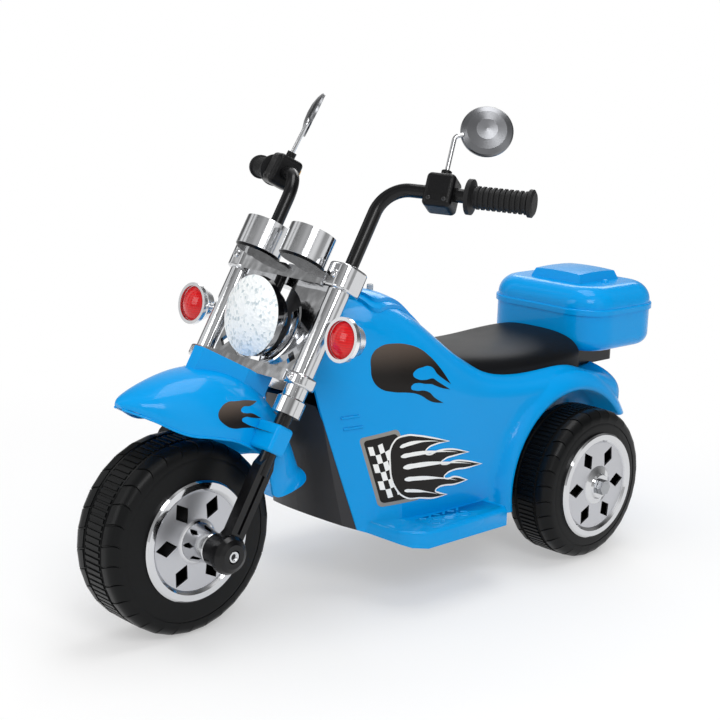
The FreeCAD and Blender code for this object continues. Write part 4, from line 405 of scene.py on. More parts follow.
def lamp_glass():
    # Clear polystyrene lens moulded with small pillow facets: near-white, with pale grey cells that are painted
    # reflections in the facets.
    material, tree, skin, place = shader("faceted_clear_polystyrene", Base_Color=linear("FBFEFE"), Roughness=0.06,
                                         IOR=1.59, Transmission_Weight=0.08, Coat_Weight=0.5, Coat_Roughness=0.03)
    cells = node(tree, "ShaderNodeTexVoronoi", {"Vector": place, "Scale": 1 / 0.0036}).outputs
    shade = node(tree, "ShaderNodeSeparateColor", {0: cells["Color"]})
    # Painted reflection: cells above a threshold turn pale grey, as facets that mirror darker surroundings.
    painted_facet_reflection = node(tree, "ShaderNodeMapRange", {"Value": shade, "From Min": 0.72, "From Max": 1.0})
    node(tree, "ShaderNodeMix", {0: painted_facet_reflection, 6: (*linear("FCFFFF"), 1), 7: (*linear("BFCDD2"), 1)},
         skin["Base Color"], data_type="RGBA")
    node(tree, "ShaderNodeBump", {"Strength": 0.5, "Distance": 0.0012, "Height": cells["Distance"]}, skin["Normal"])
    return material


def signal_glass():
    # Red translucent polystyrene: saturated and glossy, with fine flutes across inside, their light and shade painted
    # into the colour as lighter and darker red stripes.
    red = paint("signal")
    deep = tuple(c * 0.82 for c in red)
    material, tree, skin, place = shader("red_translucent_polystyrene", Base_Color=red, Roughness=0.12, IOR=1.59,
                                         Specular_IOR_Level=0.3, Coat_Weight=0.25, Coat_Roughness=0.04)
    parts = node(tree, "ShaderNodeSeparateXYZ", {0: place}).outputs
    turn = node(tree, "ShaderNodeMath", {0: parts[2], 1: 2 * math.pi / 0.0028}, operation="MULTIPLY")
    flute = node(tree, "ShaderNodeMath", {0: turn}, operation="SINE")
    node(tree, "ShaderNodeBump", {"Strength": 0.12, "Distance": 0.0004, "Height": flute}, skin["Normal"])
    # Painted light and shade: the red is lighter on the flutes' crests and darker in their troughs.
    painted_flute_light = node(tree, "ShaderNodeMapRange", {"Value": flute, "From Min": -1.0, "To Min": 0.0, "To Max": 1.0})
    node(tree, "ShaderNodeMix", {0: painted_flute_light, 6: (*deep, 1), 7: (*red, 1)}, skin["Base Color"], data_type="RGBA")
    return material


def film_print(name, colour, fade=None, low=0.0, high=1.0):
    """Gloss vinyl film: flat print under a clear coat, its colour turning to a second colour towards the top where
    one is given.
    """
    material, tree, skin, place = shader(name, Base_Color=colour, Roughness=0.3, IOR=1.5, Specular_IOR_Level=0.15,
                                         Coat_Weight=0.12, Coat_Roughness=0.12)
    grain = node(tree, "ShaderNodeTexNoise", {"Vector": place, "Scale": 1 / 0.004, "Detail": 2.0})
    node(tree, "ShaderNodeMapRange", {"Value": grain, "To Min": 0.24, "To Max": 0.4}, skin["Roughness"])
    if fade is not None:
        parts = node(tree, "ShaderNodeSeparateXYZ", {0: place}).outputs
        rise = node(tree, "ShaderNodeMapRange", {"Value": parts[2], "From Min": low * MM, "From Max": high * MM},
                    interpolation_type="SMOOTHSTEP")
        node(tree, "ShaderNodeMix", {0: rise, 6: (*colour, 1), 7: (*fade, 1)}, skin["Base Color"], data_type="RGBA")
    return material


def tinted(name, code, roughness=0.3, clear=0.0):
    """Small coloured moulding: even colour with a faint grain in its gloss."""
    material, tree, skin, place = shader(name, Base_Color=linear(code), Roughness=roughness, IOR=1.5,
                                         Transmission_Weight=clear)
    grain = node(tree, "ShaderNodeTexNoise", {"Vector": place, "Scale": 1 / 0.002, "Detail": 2.0})
    node(tree, "ShaderNodeMapRange", {"Value": grain, "To Min": roughness - 0.06, "To Max": roughness + 0.08},
         skin["Roughness"])
    return material


# Tyres

# The tyres' section: radius of the rim's seat, wall, rounding of the shoulder, half web, bore and hub.
BEAD, WALL, SHOULDER, WEB, BORE, HUB = 61, 8, 14, 3, 5.2, 15
# The grooves beside the ribs: places across of their outer edge, floor and inner edge, and their depth.
GROOVE, GROOVE_DEPTH = (17.4, 16.6, 13.6, 12.8), 1.2
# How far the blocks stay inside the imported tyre, and how far their feet sink into the floor of the tread.
BLOCK_INSET, BLOCK_SINK = 0.1, 0.4


def tyre_profile(radius, half, depth, hub_out, hub_in):
    """The tyre's section without its ribs and blocks: web, hub, sidewalls and the floor of the tread."""
    arc = [math.radians(a) for a in range(18, 91, 12)]
    low = SHOULDER - depth

    def outer(side):
        points = [(BEAD, side * (half - 2)), (BEAD + 1.5, side * half), (radius - 21, side * half),
                  (radius - 18.5, side * (half - 0.4))]
        points += [(radius - SHOULDER + low * math.sin(a), side * (half - SHOULDER + low * math.cos(a)))
                   for a in arc]
        points += [(radius - depth - deep, side * y) for y, deep in zip(GROOVE, (0, GROOVE_DEPTH, GROOVE_DEPTH, 0))]
        return points

    inside = [(BORE, hub_out), (HUB, hub_out), (HUB, WEB), (radius - WALL, WEB), (radius - WALL, half - WALL),
              (BEAD, half - WALL)]
    back = [(BEAD, WALL - half), (radius - WALL, WALL - half), (radius - WALL, -WEB), (HUB, -WEB), (HUB, hub_in),
            (BORE, hub_in)]
    return inside + outer(1) + outer(-1)[::-1] + back


def block_mesh(name, stations, width, swing, chamfer=0.7):
    """A tread block from stations of (top radius, top across, foot radius, foot across) and its width."""
    bm = bmesh.new()
    rows = []
    last = len(stations) - 1
    for i, (r, y, foot_r, foot_y) in enumerate(stations):
        lean = swing * math.sin(math.pi * i / last)
        row = []
        for radius, across, half in ((foot_r, foot_y, -width / 2), (r, y, chamfer - width / 2),
                                     (r, y, width / 2 - chamfer), (foot_r, foot_y, width / 2)):
            angle = (half + lean) / radius
            row.append(bm.verts.new((radius * math.cos(angle) * MM, across * MM, radius * math.sin(angle) * MM)))
        rows.append(row)
    return capped(bm, rows, name, 30)


def tread_tree():
    """Copies ribs and shoulder blocks round a tyre and sets it on its hub."""
    tree, given = geometry_tree("Tread", [
        ("Carcass", "Object"), ("Rib", "Object"), ("Near block", "Object"), ("Far block", "Object"),
        ("Ribs", "Int"), ("Blocks", "Int"), ("Hub", "Vector"), ("Finish", "Material")])
    rings = [node(tree, "GeometryNodeObjectInfo", {"Object": given["Carcass"]}).outputs["Geometry"]]
    index = node(tree, "GeometryNodeInputIndex")
    for piece, count, shift in (("Rib", "Ribs", 0.0), ("Near block", "Blocks", 0.0), ("Far block", "Blocks", 0.5)):
        points = node(tree, "GeometryNodePoints", {"Count": given[count]})
        step = node(tree, "ShaderNodeMath", {0: 2 * math.pi, 1: given[count]}, operation="DIVIDE")
        place = node(tree, "ShaderNodeMath", {0: index, 1: shift}, operation="ADD")
        angle = node(tree, "ShaderNodeMath", {0: place, 1: step}, operation="MULTIPLY")
        turn = node(tree, "ShaderNodeCombineXYZ", {"Y": angle})
        shape = node(tree, "GeometryNodeObjectInfo", {"Object": given[piece]}).outputs["Geometry"]
        ring = node(tree, "GeometryNodeInstanceOnPoints", {"Points": points, "Instance": shape, "Rotation": turn})
        rings.append(ring.outputs[0])
    joined = node(tree, "GeometryNodeJoinGeometry")
    for ring in reversed(rings):
        tree.links.new(ring, joined.inputs[0])
    real = node(tree, "GeometryNodeRealizeInstances", {0: joined})
    placed = node(tree, "GeometryNodeTransform", {"Geometry": real, "Translation": given["Hub"]})
    finished = node(tree, "GeometryNodeSetMaterial", {"Geometry": placed, "Material": given["Finish"]})
    node(tree, "NodeGroupOutput", {0: finished})
    return tree


def tyre(name, tree, packed, body, radius, half, hub, hub_in, finish):
    """One tyre with its ribs and shoulder blocks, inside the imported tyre's own outline."""
    depth = sizes().tread_depth / MM
    carcass = mesh_from(turned(tyre_profile(radius, half, depth, half - 3, hub_in), 160), name + "_carcass")
    top, foot = radius - BLOCK_INSET, radius - depth - BLOCK_SINK
    rib = block_mesh(name + "_rib", [(top, y, foot, y * 1.02) for y in (-12.3, -6, 0, 6, 12.3)],
                     2 * math.pi * radius / sizes().tread_ribs - 2.0, 0)
    width = 2 * math.pi * radius / sizes().tread_lugs - sizes().lug_gap / MM
    across, up = half - SHOULDER, radius - SHOULDER
    arc_top, arc_foot = SHOULDER - BLOCK_INSET, SHOULDER - BLOCK_SINK - depth
    blocks = []
    for side in (1, -1):
        stations = [(top, side * 17.6, foot, side * 17.5), (top, side * across, foot, side * across)]
        for degrees in (74, 58, 42, 28, 15):
            a = math.radians(degrees)
            stations.append((up + arc_top * math.sin(a), side * (across + arc_top * math.cos(a)),
                             up + arc_foot * math.sin(a), side * (across + arc_foot * math.cos(a))))
        stations.append((radius - 16.5, side * (half - BLOCK_INSET), radius - 16, side * (half - 1.6)))
        blocks.append(block_mesh(name + "_block", stations, width, side * 4.5))
    helpers = [plain_object(name + "_helper_%d" % i, mesh) for i, mesh in enumerate((carcass, rib, *blocks))]
    piece = grown(name, tree, {
        "Carcass": helpers[0], "Rib": helpers[1], "Near block": helpers[2], "Far block": helpers[3],
        "Ribs": sizes().tread_ribs, "Blocks": sizes().tread_lugs, "Hub": tuple(hub * MM), "Finish": finish})
    spare(*helpers)
    return settle(piece, body, "tyre_plastic", packed)


# Headlight surround

# The headlight's middle, up the fork from the front axle.
LAMP_UP = 255
# The stepped section of the headlight's surround: radius and place ahead.
SURROUND = ((50.7, -5.6), (50.7, -1.4), (48.6, -0.7), (46.6, -2.0), (44.4, -2.2), (43.2, -3.2), (38.4, -3.4),
            (36.8, -2.6), (34.6, -3.0), (34.6, -5.6))


def lamp_surround(name, side, finish):
    """A stepped sector that fills one side of the plate's opening round the headlight."""
    bm = bmesh.new()
    rows = []
    for i in range(37):
        angle = math.radians(-78 + i * 3.2)
        out = LEFT * side * math.cos(angle) + FORK_UP * math.sin(angle)
        rows.append([bm.verts.new((fork_point(ahead, 0, LAMP_UP) + out * r) * MM) for r, ahead in SURROUND])
    mesh = capped(bm, rows, name)
    mesh.materials.append(finish)
    return settle(plain_object(name, mesh), "steering", "chrome_plastic")


# Fasteners, marks and studs

def scatter_tree():
    """Sets one shape on points, its Z axis along each point's stored direction."""
    tree, given = geometry_tree("Scatter", [("Places", "Object"), ("Shape", "Object"), ("Finish", "Material")])
    places = node(tree, "GeometryNodeObjectInfo", {"Object": given["Places"]}).outputs["Geometry"]
    points = node(tree, "GeometryNodeMeshToPoints", {"Mesh": places})
    axis = node(tree, "GeometryNodeInputNamedAttribute", {"Name": "axis"}, data_type="FLOAT_VECTOR")
    lie = node(tree, "GeometryNodeInputNamedAttribute", {"Name": "lie"}, data_type="FLOAT_VECTOR")
    first = node(tree, "FunctionNodeAlignRotationToVector", {"Vector": axis}, axis="Z")
    second = node(tree, "FunctionNodeAlignRotationToVector", {"Rotation": first, "Vector": lie}, axis="X",
                  pivot_axis="Z")
    shape = node(tree, "GeometryNodeObjectInfo", {"Object": given["Shape"]}).outputs["Geometry"]
    copies = node(tree, "GeometryNodeInstanceOnPoints", {"Points": points, "Instance": shape, "Rotation": second})
    real = node(tree, "GeometryNodeRealizeInstances", {0: copies})
    finished = node(tree, "GeometryNodeSetMaterial", {"Geometry": real, "Material": given["Finish"]})
    node(tree, "NodeGroupOutput", {0: finished})
    return tree


def scattered(name, tree, shape, places, finish, body, slot):
    """Copies a shape to places of (point, axis, lie) and keeps them as one piece."""
    mesh = bpy.data.meshes.new(name + "_places")
    mesh.from_pydata([tuple(point * MM) for point, axis, lie in places], [], [])
    for label, column in (("axis", 1), ("lie", 2)):
        stored = mesh.attributes.new(label, "FLOAT_VECTOR", "POINT")
        stored.data.foreach_set("vector", [c for place in places for c in place[column]])
    marks = plain_object(name + "_places", mesh)
    stamp = plain_object(name + "_shape", shape)
    piece = grown(name, tree, {"Places": marks, "Shape": stamp, "Finish": finish})
    spare(marks, stamp)
    return settle(piece, body, slot)


def stand_up(bm):
    """Turns a shape made about Y so that it stands on Z."""
    bmesh.ops.rotate(bm, verts=bm.verts, matrix=Matrix.Rotation(math.radians(90), 3, "X"))
    return bm


def screw_mesh(radius, height):
    """A low domed head with a round driver recess."""
    profile = [(0.001, -0.5), (radius, -0.5), (radius, height * 0.35), (radius * 0.86, height * 0.8),
               (radius * 0.6, height), (radius * 0.42, height), (radius * 0.36, height * 0.45),
               (0.001, height * 0.4)]
    return mesh_from(stand_up(turned(profile, 20)), "screw", 40)


def bar_mesh(length, width, height):
    """A flat bar along X with chamfered upper edges."""
    bm = bmesh.new()
    rows = []
    for z, inset in ((0, 0), (height * 0.5, 0), (height, min(width, length) * 0.16)):
        rows.append([bm.verts.new((sx * (length / 2 - inset) * MM, sy * (width / 2 - inset) * MM, z * MM))
                     for sx, sy in ((1, 1), (-1, 1), (-1, -1), (1, -1))])
    return capped(bm, rows, "bar", 30)


# Films and trim that lie on a surface

def flat_outline(loops):
    """A filled flat mesh of small triangles from closed outlines of (x, z) or (x, z, sharp)."""
    curve = bpy.data.curves.new("outline", "CURVE")
    curve.dimensions = "2D"
    curve.fill_mode = "FRONT"
    curve.resolution_u = 8
    for loop in loops:
        spline = curve.splines.new("BEZIER")
        spline.bezier_points.add(len(loop) - 1)
        spline.use_cyclic_u = True
        for point, (x, z, *sharp) in zip(spline.bezier_points, loop):
            point.co = (x * MM, z * MM, 0)
            kind = "VECTOR" if sharp else "AUTO"
            point.handle_left_type = kind
            point.handle_right_type = kind
    holder = plain_object("outline", curve)
    mesh = evaluated_mesh(holder)
    spare(holder)
    bm = bmesh.new()
    bm.from_mesh(mesh)
    bmesh.ops.remove_doubles(bm, verts=bm.verts, dist=1e-6)
    for _ in range(9):
        bmesh.ops.triangulate(bm, faces=bm.faces)
        long = [edge for edge in bm.edges if edge.calc_length() > FACET * MM]
        if not long:
            break
        bmesh.ops.subdivide_edges(bm, edges=long, cuts=1)
    bmesh.ops.triangulate(bm, faces=bm.faces)
    kept, doubled = set(), []
    for face in bm.faces:
        corners = frozenset(face.verts)
        if corners in kept:
            doubled.append(face)
        kept.add(corners)
    bmesh.ops.delete(bm, geom=doubled, context="FACES_ONLY")
    return bm


def surface_of(packed):
    """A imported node's surface, to lay things on."""
    mesh = NODES[packed].data
    return BVHTree.FromPolygons([v.co for v in mesh.vertices], [p.vertices for p in mesh.polygons])


# In metres: how far out a film is laid from, and from where its nearest place is sought if it misses.
LAY_FROM, SEEK_FROM = 0.4, 0.1
# The share of a film's lift that stays clear under its foot.
FOOT_SHARE = 0.1


def laid(bm, surface, side, lift):
    """Lays a flat outline on a surface from the side, with walls down to just above that surface."""
    feet = {}
    for vert in list(bm.verts):
        x, z = vert.co.x, vert.co.y
        point, normal, _, _ = surface.ray_cast(Vector((x, side * LAY_FROM, z)), Vector((0, -side, 0)))
        if point is None:
            point, normal, _, _ = surface.find_nearest(Vector((x, side * SEEK_FROM, z)))
        outward = normal if normal.y * side > 0 else -normal
        vert.co = point + outward * lift
        feet[vert] = bm.verts.new(point + outward * lift * FOOT_SHARE)
    bm.normal_update()
    if sum(face.normal.y * face.calc_area() for face in bm.faces) * side < 0:
        bmesh.ops.reverse_faces(bm, faces=bm.faces)
    rims = [edge.link_loops[0] for edge in bm.edges if edge.is_boundary]
    for face in list(bm.faces):
        bm.faces.new([feet[vert] for vert in reversed(face.verts)])
    for loop in rims:
        here, there = loop.vert, loop.link_loop_next.vert
        bm.faces.new((there, here, feet[here], feet[there]))
    return bm


def film(name, layers, packed, side, body, slot):
    """Printed film in layers of (outlines, finish, number of thicknesses above the surface)."""
    surface = surface_of(packed)
    whole = bmesh.new()
    finishes = []
    for loops, finish, height in layers:
        bm = laid(flat_outline(loops), surface, side, height * sizes().film)
        for face in bm.faces:
            face.material_index = len(finishes)
        finishes.append(finish)
        whole.from_mesh(poured(bm, "layer"))
    mesh = poured(whole, name)
    for finish in finishes:
        mesh.materials.append(finish)
    mesh.shade_smooth()
    mesh.set_sharp_from_angle(angle=math.radians(50))
    return settle(plain_object(name, mesh), body, slot)


def bead(name, points, radius, finish, body, slot):
    """A round bead on a smooth line through points, closed at both ends."""
    curve = bpy.data.curves.new(name, "CURVE")
    curve.dimensions = "3D"
    curve.bevel_depth = radius
    curve.bevel_resolution = 3
    curve.resolution_u = 10
    curve.use_fill_caps = True
    spline = curve.splines.new("BEZIER")
    spline.bezier_points.add(len(points) - 1)
    for knot, point in zip(spline.bezier_points, points):
        knot.co = point * MM
        knot.handle_left_type = "AUTO"
        knot.handle_right_type = "AUTO"
    holder = plain_object(name + "_line", curve)
    mesh = evaluated_mesh(holder)
    spare(holder)
    mesh.materials.clear()
    mesh.materials.append(finish)
    return settle(plain_object(name, mesh), body, slot)


# Outlines as seen from the side, in x and z, with a third number at a sharp tip. Flames have their nose to the front.
TANK_FLAME = [
    (107, 280.5), (103.5, 294.5), (90.5, 304), (73, 306), (55.5, 303.5), (39, 297), (26, 286.5), (14, 273),
    (-1, 252, 1),
    (11.5, 260), (20, 266.5), (25, 273.5), (32, 277), (41.5, 276.5), (51.5, 274), (55.5, 269), (49.5, 263.5),
    (38, 261.5), (27.5, 262), (21, 258), (0.5, 245.5, 1),
    (14, 249), (23, 252.5), (30, 255.5), (40, 257), (49.5, 259), (57, 257.5), (59, 253.5), (52, 250), (41, 249),
    (32.5, 245.5), (25.5, 239), (11, 230.5, 1),
    (25.5, 233), (34, 236.5), (42.5, 242), (52.5, 246.5), (65, 249), (81.5, 251), (98, 256.5), (106, 267),
]
FENDER_FLAME = [
    (316, 252), (311, 260), (301, 264.5), (289, 264), (276, 263), (258, 259, 1),
    (272, 256.5), (282, 257), (286, 253.5), (281, 250.5), (272, 249), (260, 242, 1),
    (273, 244.5), (282, 246.5), (287, 244), (283, 240), (270, 233.5, 1),
    (286, 235.5), (299, 236.5), (310, 242.5),
]
# The side plate's corners: upper front, upper rear, lower rear, lower front.
PLATE = ((121, 198), (74, 206), (40, 115), (95.5, 112))
SIDE_FLAME = [
    (78, 191), (64, 196), (48, 194), (28, 189), (2, 182, 1),
    (22, 182), (34, 178), (37, 172.5), (31, 168.5), (16, 171), (-4, 170), (-32, 163, 1),
    (-10, 163), (6, 161), (12, 156), (5, 152.5), (-12, 154), (-30, 151), (-56, 144, 1),
    (-32, 144), (-10, 145), (2, 142), (6, 137.5), (0, 133.5), (-12, 134), (-32, 127.5, 1),
    (-12, 126.5), (4, 128), (14, 127), (19, 122.5), (14, 118.5), (2, 115, 1),
    (22, 115), (40, 118), (60, 121), (74, 134), (82, 162),
]


def plate_point(along, down):
    """A place on the slanted side plate, from its upper front corner."""
    corners = [Vector(corner) for corner in PLATE]
    upper = corners[0].lerp(corners[1], along)
    lower = corners[3].lerp(corners[2], along)
    return tuple(upper.lerp(lower, down))


def plate_outline(inset_x, inset_z, round_x, round_z):
    """The slanted plate with rounded corners."""
    ring = []
    for side, end, start in ((1, -1, 90), (1, 1, 0), (-1, 1, 270), (-1, -1, 180)):
        along = 0.5 + side * (0.5 - inset_x - round_x)
        down = 0.5 + end * (0.5 - inset_z - round_z)
        for i in range(6):
            angle = math.radians(start - i * 18)
            ring.append((*plate_point(along + round_x * math.cos(angle), down - round_z * math.sin(angle)), 1))
    return ring


def plate_checks(columns, rows, left, right, top, bottom):
    """Every other field of a slanted chequer on the plate, with a slow wave along it."""
    fields = []
    across, tall = (right - left) / columns, (bottom - top) / rows
    for i in range(columns):
        for j in range(rows):
            if (i + j) % 2:
                continue
            ring = []
            for a, d in ((0, 0), (1, 0), (1, 1), (0, 1)):
                x = left + (i + a) * across
                z = top + (j + d) * tall + 0.03 * math.sin(5.5 * x)
                ring.append((*plate_point(x, z), 1))
            fields.append(ring)
    return fields


def lick(start, bend, tip, width):
    """A flame lick that tapers from a round root to a point along a bent line."""
    start, bend, tip = Vector(start), Vector(bend), Vector(tip)
    upper, lower = [], []
    for i in range(7):
        s = i / 7
        here = start * (1 - s) ** 2 + bend * (2 * s * (1 - s)) + tip * s ** 2
        slope = ((bend - start) * (1 - s) + (tip - bend) * s).normalized()
        across = Vector((-slope.y, slope.x))
        half = width * (0.55 + 0.45 * math.sin(math.pi * min(1, s * 1.7))) * (1 - s) ** 0.8 / 2
        upper.append(here + across * half)
        lower.append(here - across * half)
    root = start - (bend - start).normalized() * width * 0.3
    return [tuple(root)] + [tuple(p) for p in upper] + [(*tip, 1)] + [tuple(p) for p in reversed(lower)]


# White licks on the side flame: root, bend, tip and width.
LICKS = (
    ((70, 184), (48, 191), (14, 183.5), 6),
    ((68, 172), (28, 176), (-16, 165.5), 6.5),
    ((64, 158), (16, 161), (-40, 147), 7.5),
    ((62, 143), (20, 142), (-18, 129.5), 6.5),
    ((62, 129), (36, 126), (14, 117.5), 5),
)


def swollen(loop, by):
    """An outline moved outwards all round, twice as far at its tips."""
    points = [Vector(point[:2]) for point in loop]
    turn = sum(a.cross(b) for a, b in zip(points, points[1:] + points[:1]))
    moved = []
    for i, point in enumerate(points):
        along = (points[(i + 1) % len(points)] - point).normalized() + (point - points[i - 1]).normalized()
        out = Vector((along.y, -along.x)).normalized() * (by if turn > 0 else -by)
        tip = loop[i][2:]
        moved.append((*(point + out * (2 if tip else 1)), *tip))
    return moved


# Stage

def look_at(place, target, roll=0.0):
    """The turn of a camera or lamp at a place that looks at a target."""
    ahead = (target - place).normalized()
    level = ahead.cross(Vector((0, 0, 1))).normalized()
    upward = level.cross(ahead)
    right = level * math.cos(roll) + upward * math.sin(roll)
    up = upward * math.cos(roll) - level * math.sin(roll)
    return Matrix.Translation(place) @ Matrix((right, up, -ahead)).transposed().to_4x4()


def seen_directly(tree):
    """One for rays from the camera, from a mirror or through glass, and zero for light that spreads."""
    path = node(tree, "ShaderNodeLightPath")
    first = node(tree, "ShaderNodeMath", {0: path.outputs["Is Camera Ray"], 1: path.outputs["Is Glossy Ray"]},
                 operation="MAXIMUM")
    return node(tree, "ShaderNodeMath", {0: first, 1: path.outputs["Is Transmission Ray"]}, operation="MAXIMUM")


def lamp(name, place, target, width, height, power):
    """A soft rectangular lamp that the camera doesn't see."""
    data = bpy.data.lights.new(name, "AREA")
    data.shape = "RECTANGLE"
    data.size = width
    data.size_y = height
    data.energy = power
    made = plain_object(name, data)
    made.matrix_world = look_at(Vector(place), Vector(target))
    made.visible_camera = False


# Shade and cover of the flags round the stage: degrees from straight ahead, grey level, cover.
FLAGS = ((0, 0.25, 0.85), (25, 0.42, 0.7), (45, 0.25, 0.85), (66, 0.14, 0.85), (84, 0.6, 0.1), (90, 0.6, 0.1),
         (108, 0.16, 0.9), (135, 0.05, 1.0), (160, 0.16, 0.9), (180, 0.05, 1.0), (205, 0.1, 0.9), (225, 0.5, 0.2),
         (240, 0.4, 0.5), (262, 0.06, 1.0), (280, 0.12, 1.0), (296, 0.8, 0.1), (306, 0.14, 0.95), (317, 0.8, 0.15),
         (330, 0.10, 0.95), (345, 0.2, 0.9), (360, 0.25, 0.85))
FLAG_RADIUS = 3.3
FLAG_ROWS, FLAG_ROW_STEP = 12, 7.5
FLAG_COLUMNS = 120


def flags():
    """A dome of soft-edged studio flags that only mirrors and gloss see, so that plating gets its streaks."""
    bm = bmesh.new()
    rows, levels = [], []
    for j in range(FLAG_ROWS):
        rise = math.radians(FLAG_ROW_STEP * j)
        # The flags even out towards the floor and darken overhead.
        near_floor = max(0.0, 1 - j / 2.5) * 0.7
        overhead = max(0.0, (j - 5) / 6)
        row = []
        for i in range(FLAG_COLUMNS):
            azimuth = 360 * i / FLAG_COLUMNS
            before = max(k for k in range(len(FLAGS) - 1) if FLAGS[k][0] <= azimuth)
            first, second = Vector(FLAGS[before]), Vector(FLAGS[before + 1])
            share = (azimuth - first.x) / (second.x - first.x)
            _, grey, cover = first.lerp(second, share * share * (3 - 2 * share))
            angle = math.radians(azimuth)
            row.append(bm.verts.new(Vector((math.cos(angle) * math.cos(rise), math.sin(angle) * math.cos(rise),
                                            math.sin(rise))) * FLAG_RADIUS))
            grey += (0.6 - grey) * near_floor
            levels.append((grey + (0.2 - grey) * overhead, cover + (0.85 - cover) * overhead))
        rows.append(row[::-1])
    skinned(bm, rows)
    mesh = poured(bm, "flags")
    for label, column in (("grey", 0), ("cover", 1)):
        stored = mesh.attributes.new(label, "FLOAT", "POINT")
        stored.data.foreach_set("value", [level[column] for level in levels])
    # Grey flag cloth, thin at its edges.
    material, tree, _, _ = shader("grey_flag_cloth")
    grey = node(tree, "ShaderNodeAttribute", attribute_name="grey")
    cover = node(tree, "ShaderNodeAttribute", attribute_name="cover")
    cloth = node(tree, "ShaderNodeEmission", {"Color": grey.outputs["Color"]})
    bare = node(tree, "ShaderNodeBsdfTransparent")
    node(tree, "ShaderNodeMixShader", {0: cover.outputs["Fac"], 1: bare, 2: cloth},
         tree.nodes["Material Output"].inputs["Surface"])
    mesh.materials.append(material)
    dome = plain_object("flags", mesh)
    dome.visible_camera = False
    dome.visible_diffuse = False
    dome.visible_shadow = False
    dome.visible_transmission = False


# The photo's camera in metres: its focal length in the picture's own pixels, place, target and roll.
PHOTO_SIZE, FOCAL_PIXELS, SENSOR = 720, 1509, 36.0
CAMERA_PLACE, CAMERA_TARGET = Vector((1.299, 1.286, 0.6647)), Vector((0.04903, -0.00625, 0.26843))
CAMERA_ROLL = math.radians(1.9)
# Soft lamps: name, place, target, width and height in metres, and power.
LAMPS = (
    ("key", (1.1, 1.9, 1.9), (0, 0, 0.25), 1.0, 1.0, 20),
    ("fill", (2.2, -0.6, 1.2), (0, 0, 0.25), 1.2, 1.2, 11),
    ("top", (-0.3, 0.1, 2.3), (-0.1, 0, 0.2), 1.6, 0.9, 17),
    ("back", (-1.9, -1.2, 1.5), (0, 0, 0.3), 1.2, 0.8, 9),
)
FLOOR_RADIUS, FLOOR_DROP = 4.0, 0.0008


class TRIKE_OT_stage(bpy.types.Operator):
    """Sets the camera, the pale floor, the soft lamps and the flags"""

    bl_idname = "trike.stage"
    bl_label = "Stage"

    def execute(self, context):
        scene = context.scene
        data = bpy.data.cameras.new("photo_camera")
        data.sensor_width = SENSOR
        data.lens = FOCAL_PIXELS / PHOTO_SIZE * SENSOR
        camera = plain_object("photo_camera", data)
        camera.matrix_world = look_at(CAMERA_PLACE, CAMERA_TARGET, CAMERA_ROLL)
        scene.camera = camera
        scene.view_settings.view_transform = "Standard"

        world = bpy.data.worlds.new("studio")
        world.use_nodes = True
        tree = world.node_tree
        sky = tree.nodes["Background"].inputs
        sky["Color"].default_value = (1, 1, 1, 1)
        node(tree, "ShaderNodeMapRange", {"Value": seen_directly(tree), "To Min": 0.6, "To Max": 1.0},
             sky["Strength"])
        scene.world = world

        bm = bmesh.new()
        bmesh.ops.create_circle(bm, cap_ends=True, segments=96, radius=FLOOR_RADIUS)
        bmesh.ops.translate(bm, verts=bm.verts, vec=(0, 0, -FLOOR_DROP))
        mesh = poured(bm, "floor")
        plain_object("floor", mesh)
        # Matt white studio vinyl that runs out into the white of the backdrop.
        material, tree, _, place = shader("white_studio_vinyl", Base_Color=linear("F4F4F4"), Roughness=0.9)
        away = node(tree, "ShaderNodeVectorMath", {0: place}, operation="LENGTH").outputs["Value"]
        far = node(tree, "ShaderNodeMapRange", {"Value": away, "From Min": 0.45, "From Max": 1.1, "To Min": 0.4},
                   interpolation_type="SMOOTHSTEP")
        share = node(tree, "ShaderNodeMath", {0: far, 1: seen_directly(tree)}, operation="MULTIPLY")
        white = node(tree, "ShaderNodeEmission", {"Color": (1, 1, 1, 1), "Strength": 1.0})
        node(tree, "ShaderNodeMixShader", {0: share, 1: tree.nodes["Principled BSDF"], 2: white},
             tree.nodes["Material Output"].inputs["Surface"])
        mesh.materials.append(material)

        for row in LAMPS:
            lamp(*row)
        flags()
        return {"FINISHED"}


def on_board(vert):
    """Tells whether a corner of the body belongs to a footboard."""
    x, y, z = vert.co / MM
    return z < PAD_TOP + 1 and abs(y) > 90 and -80 < x < 115


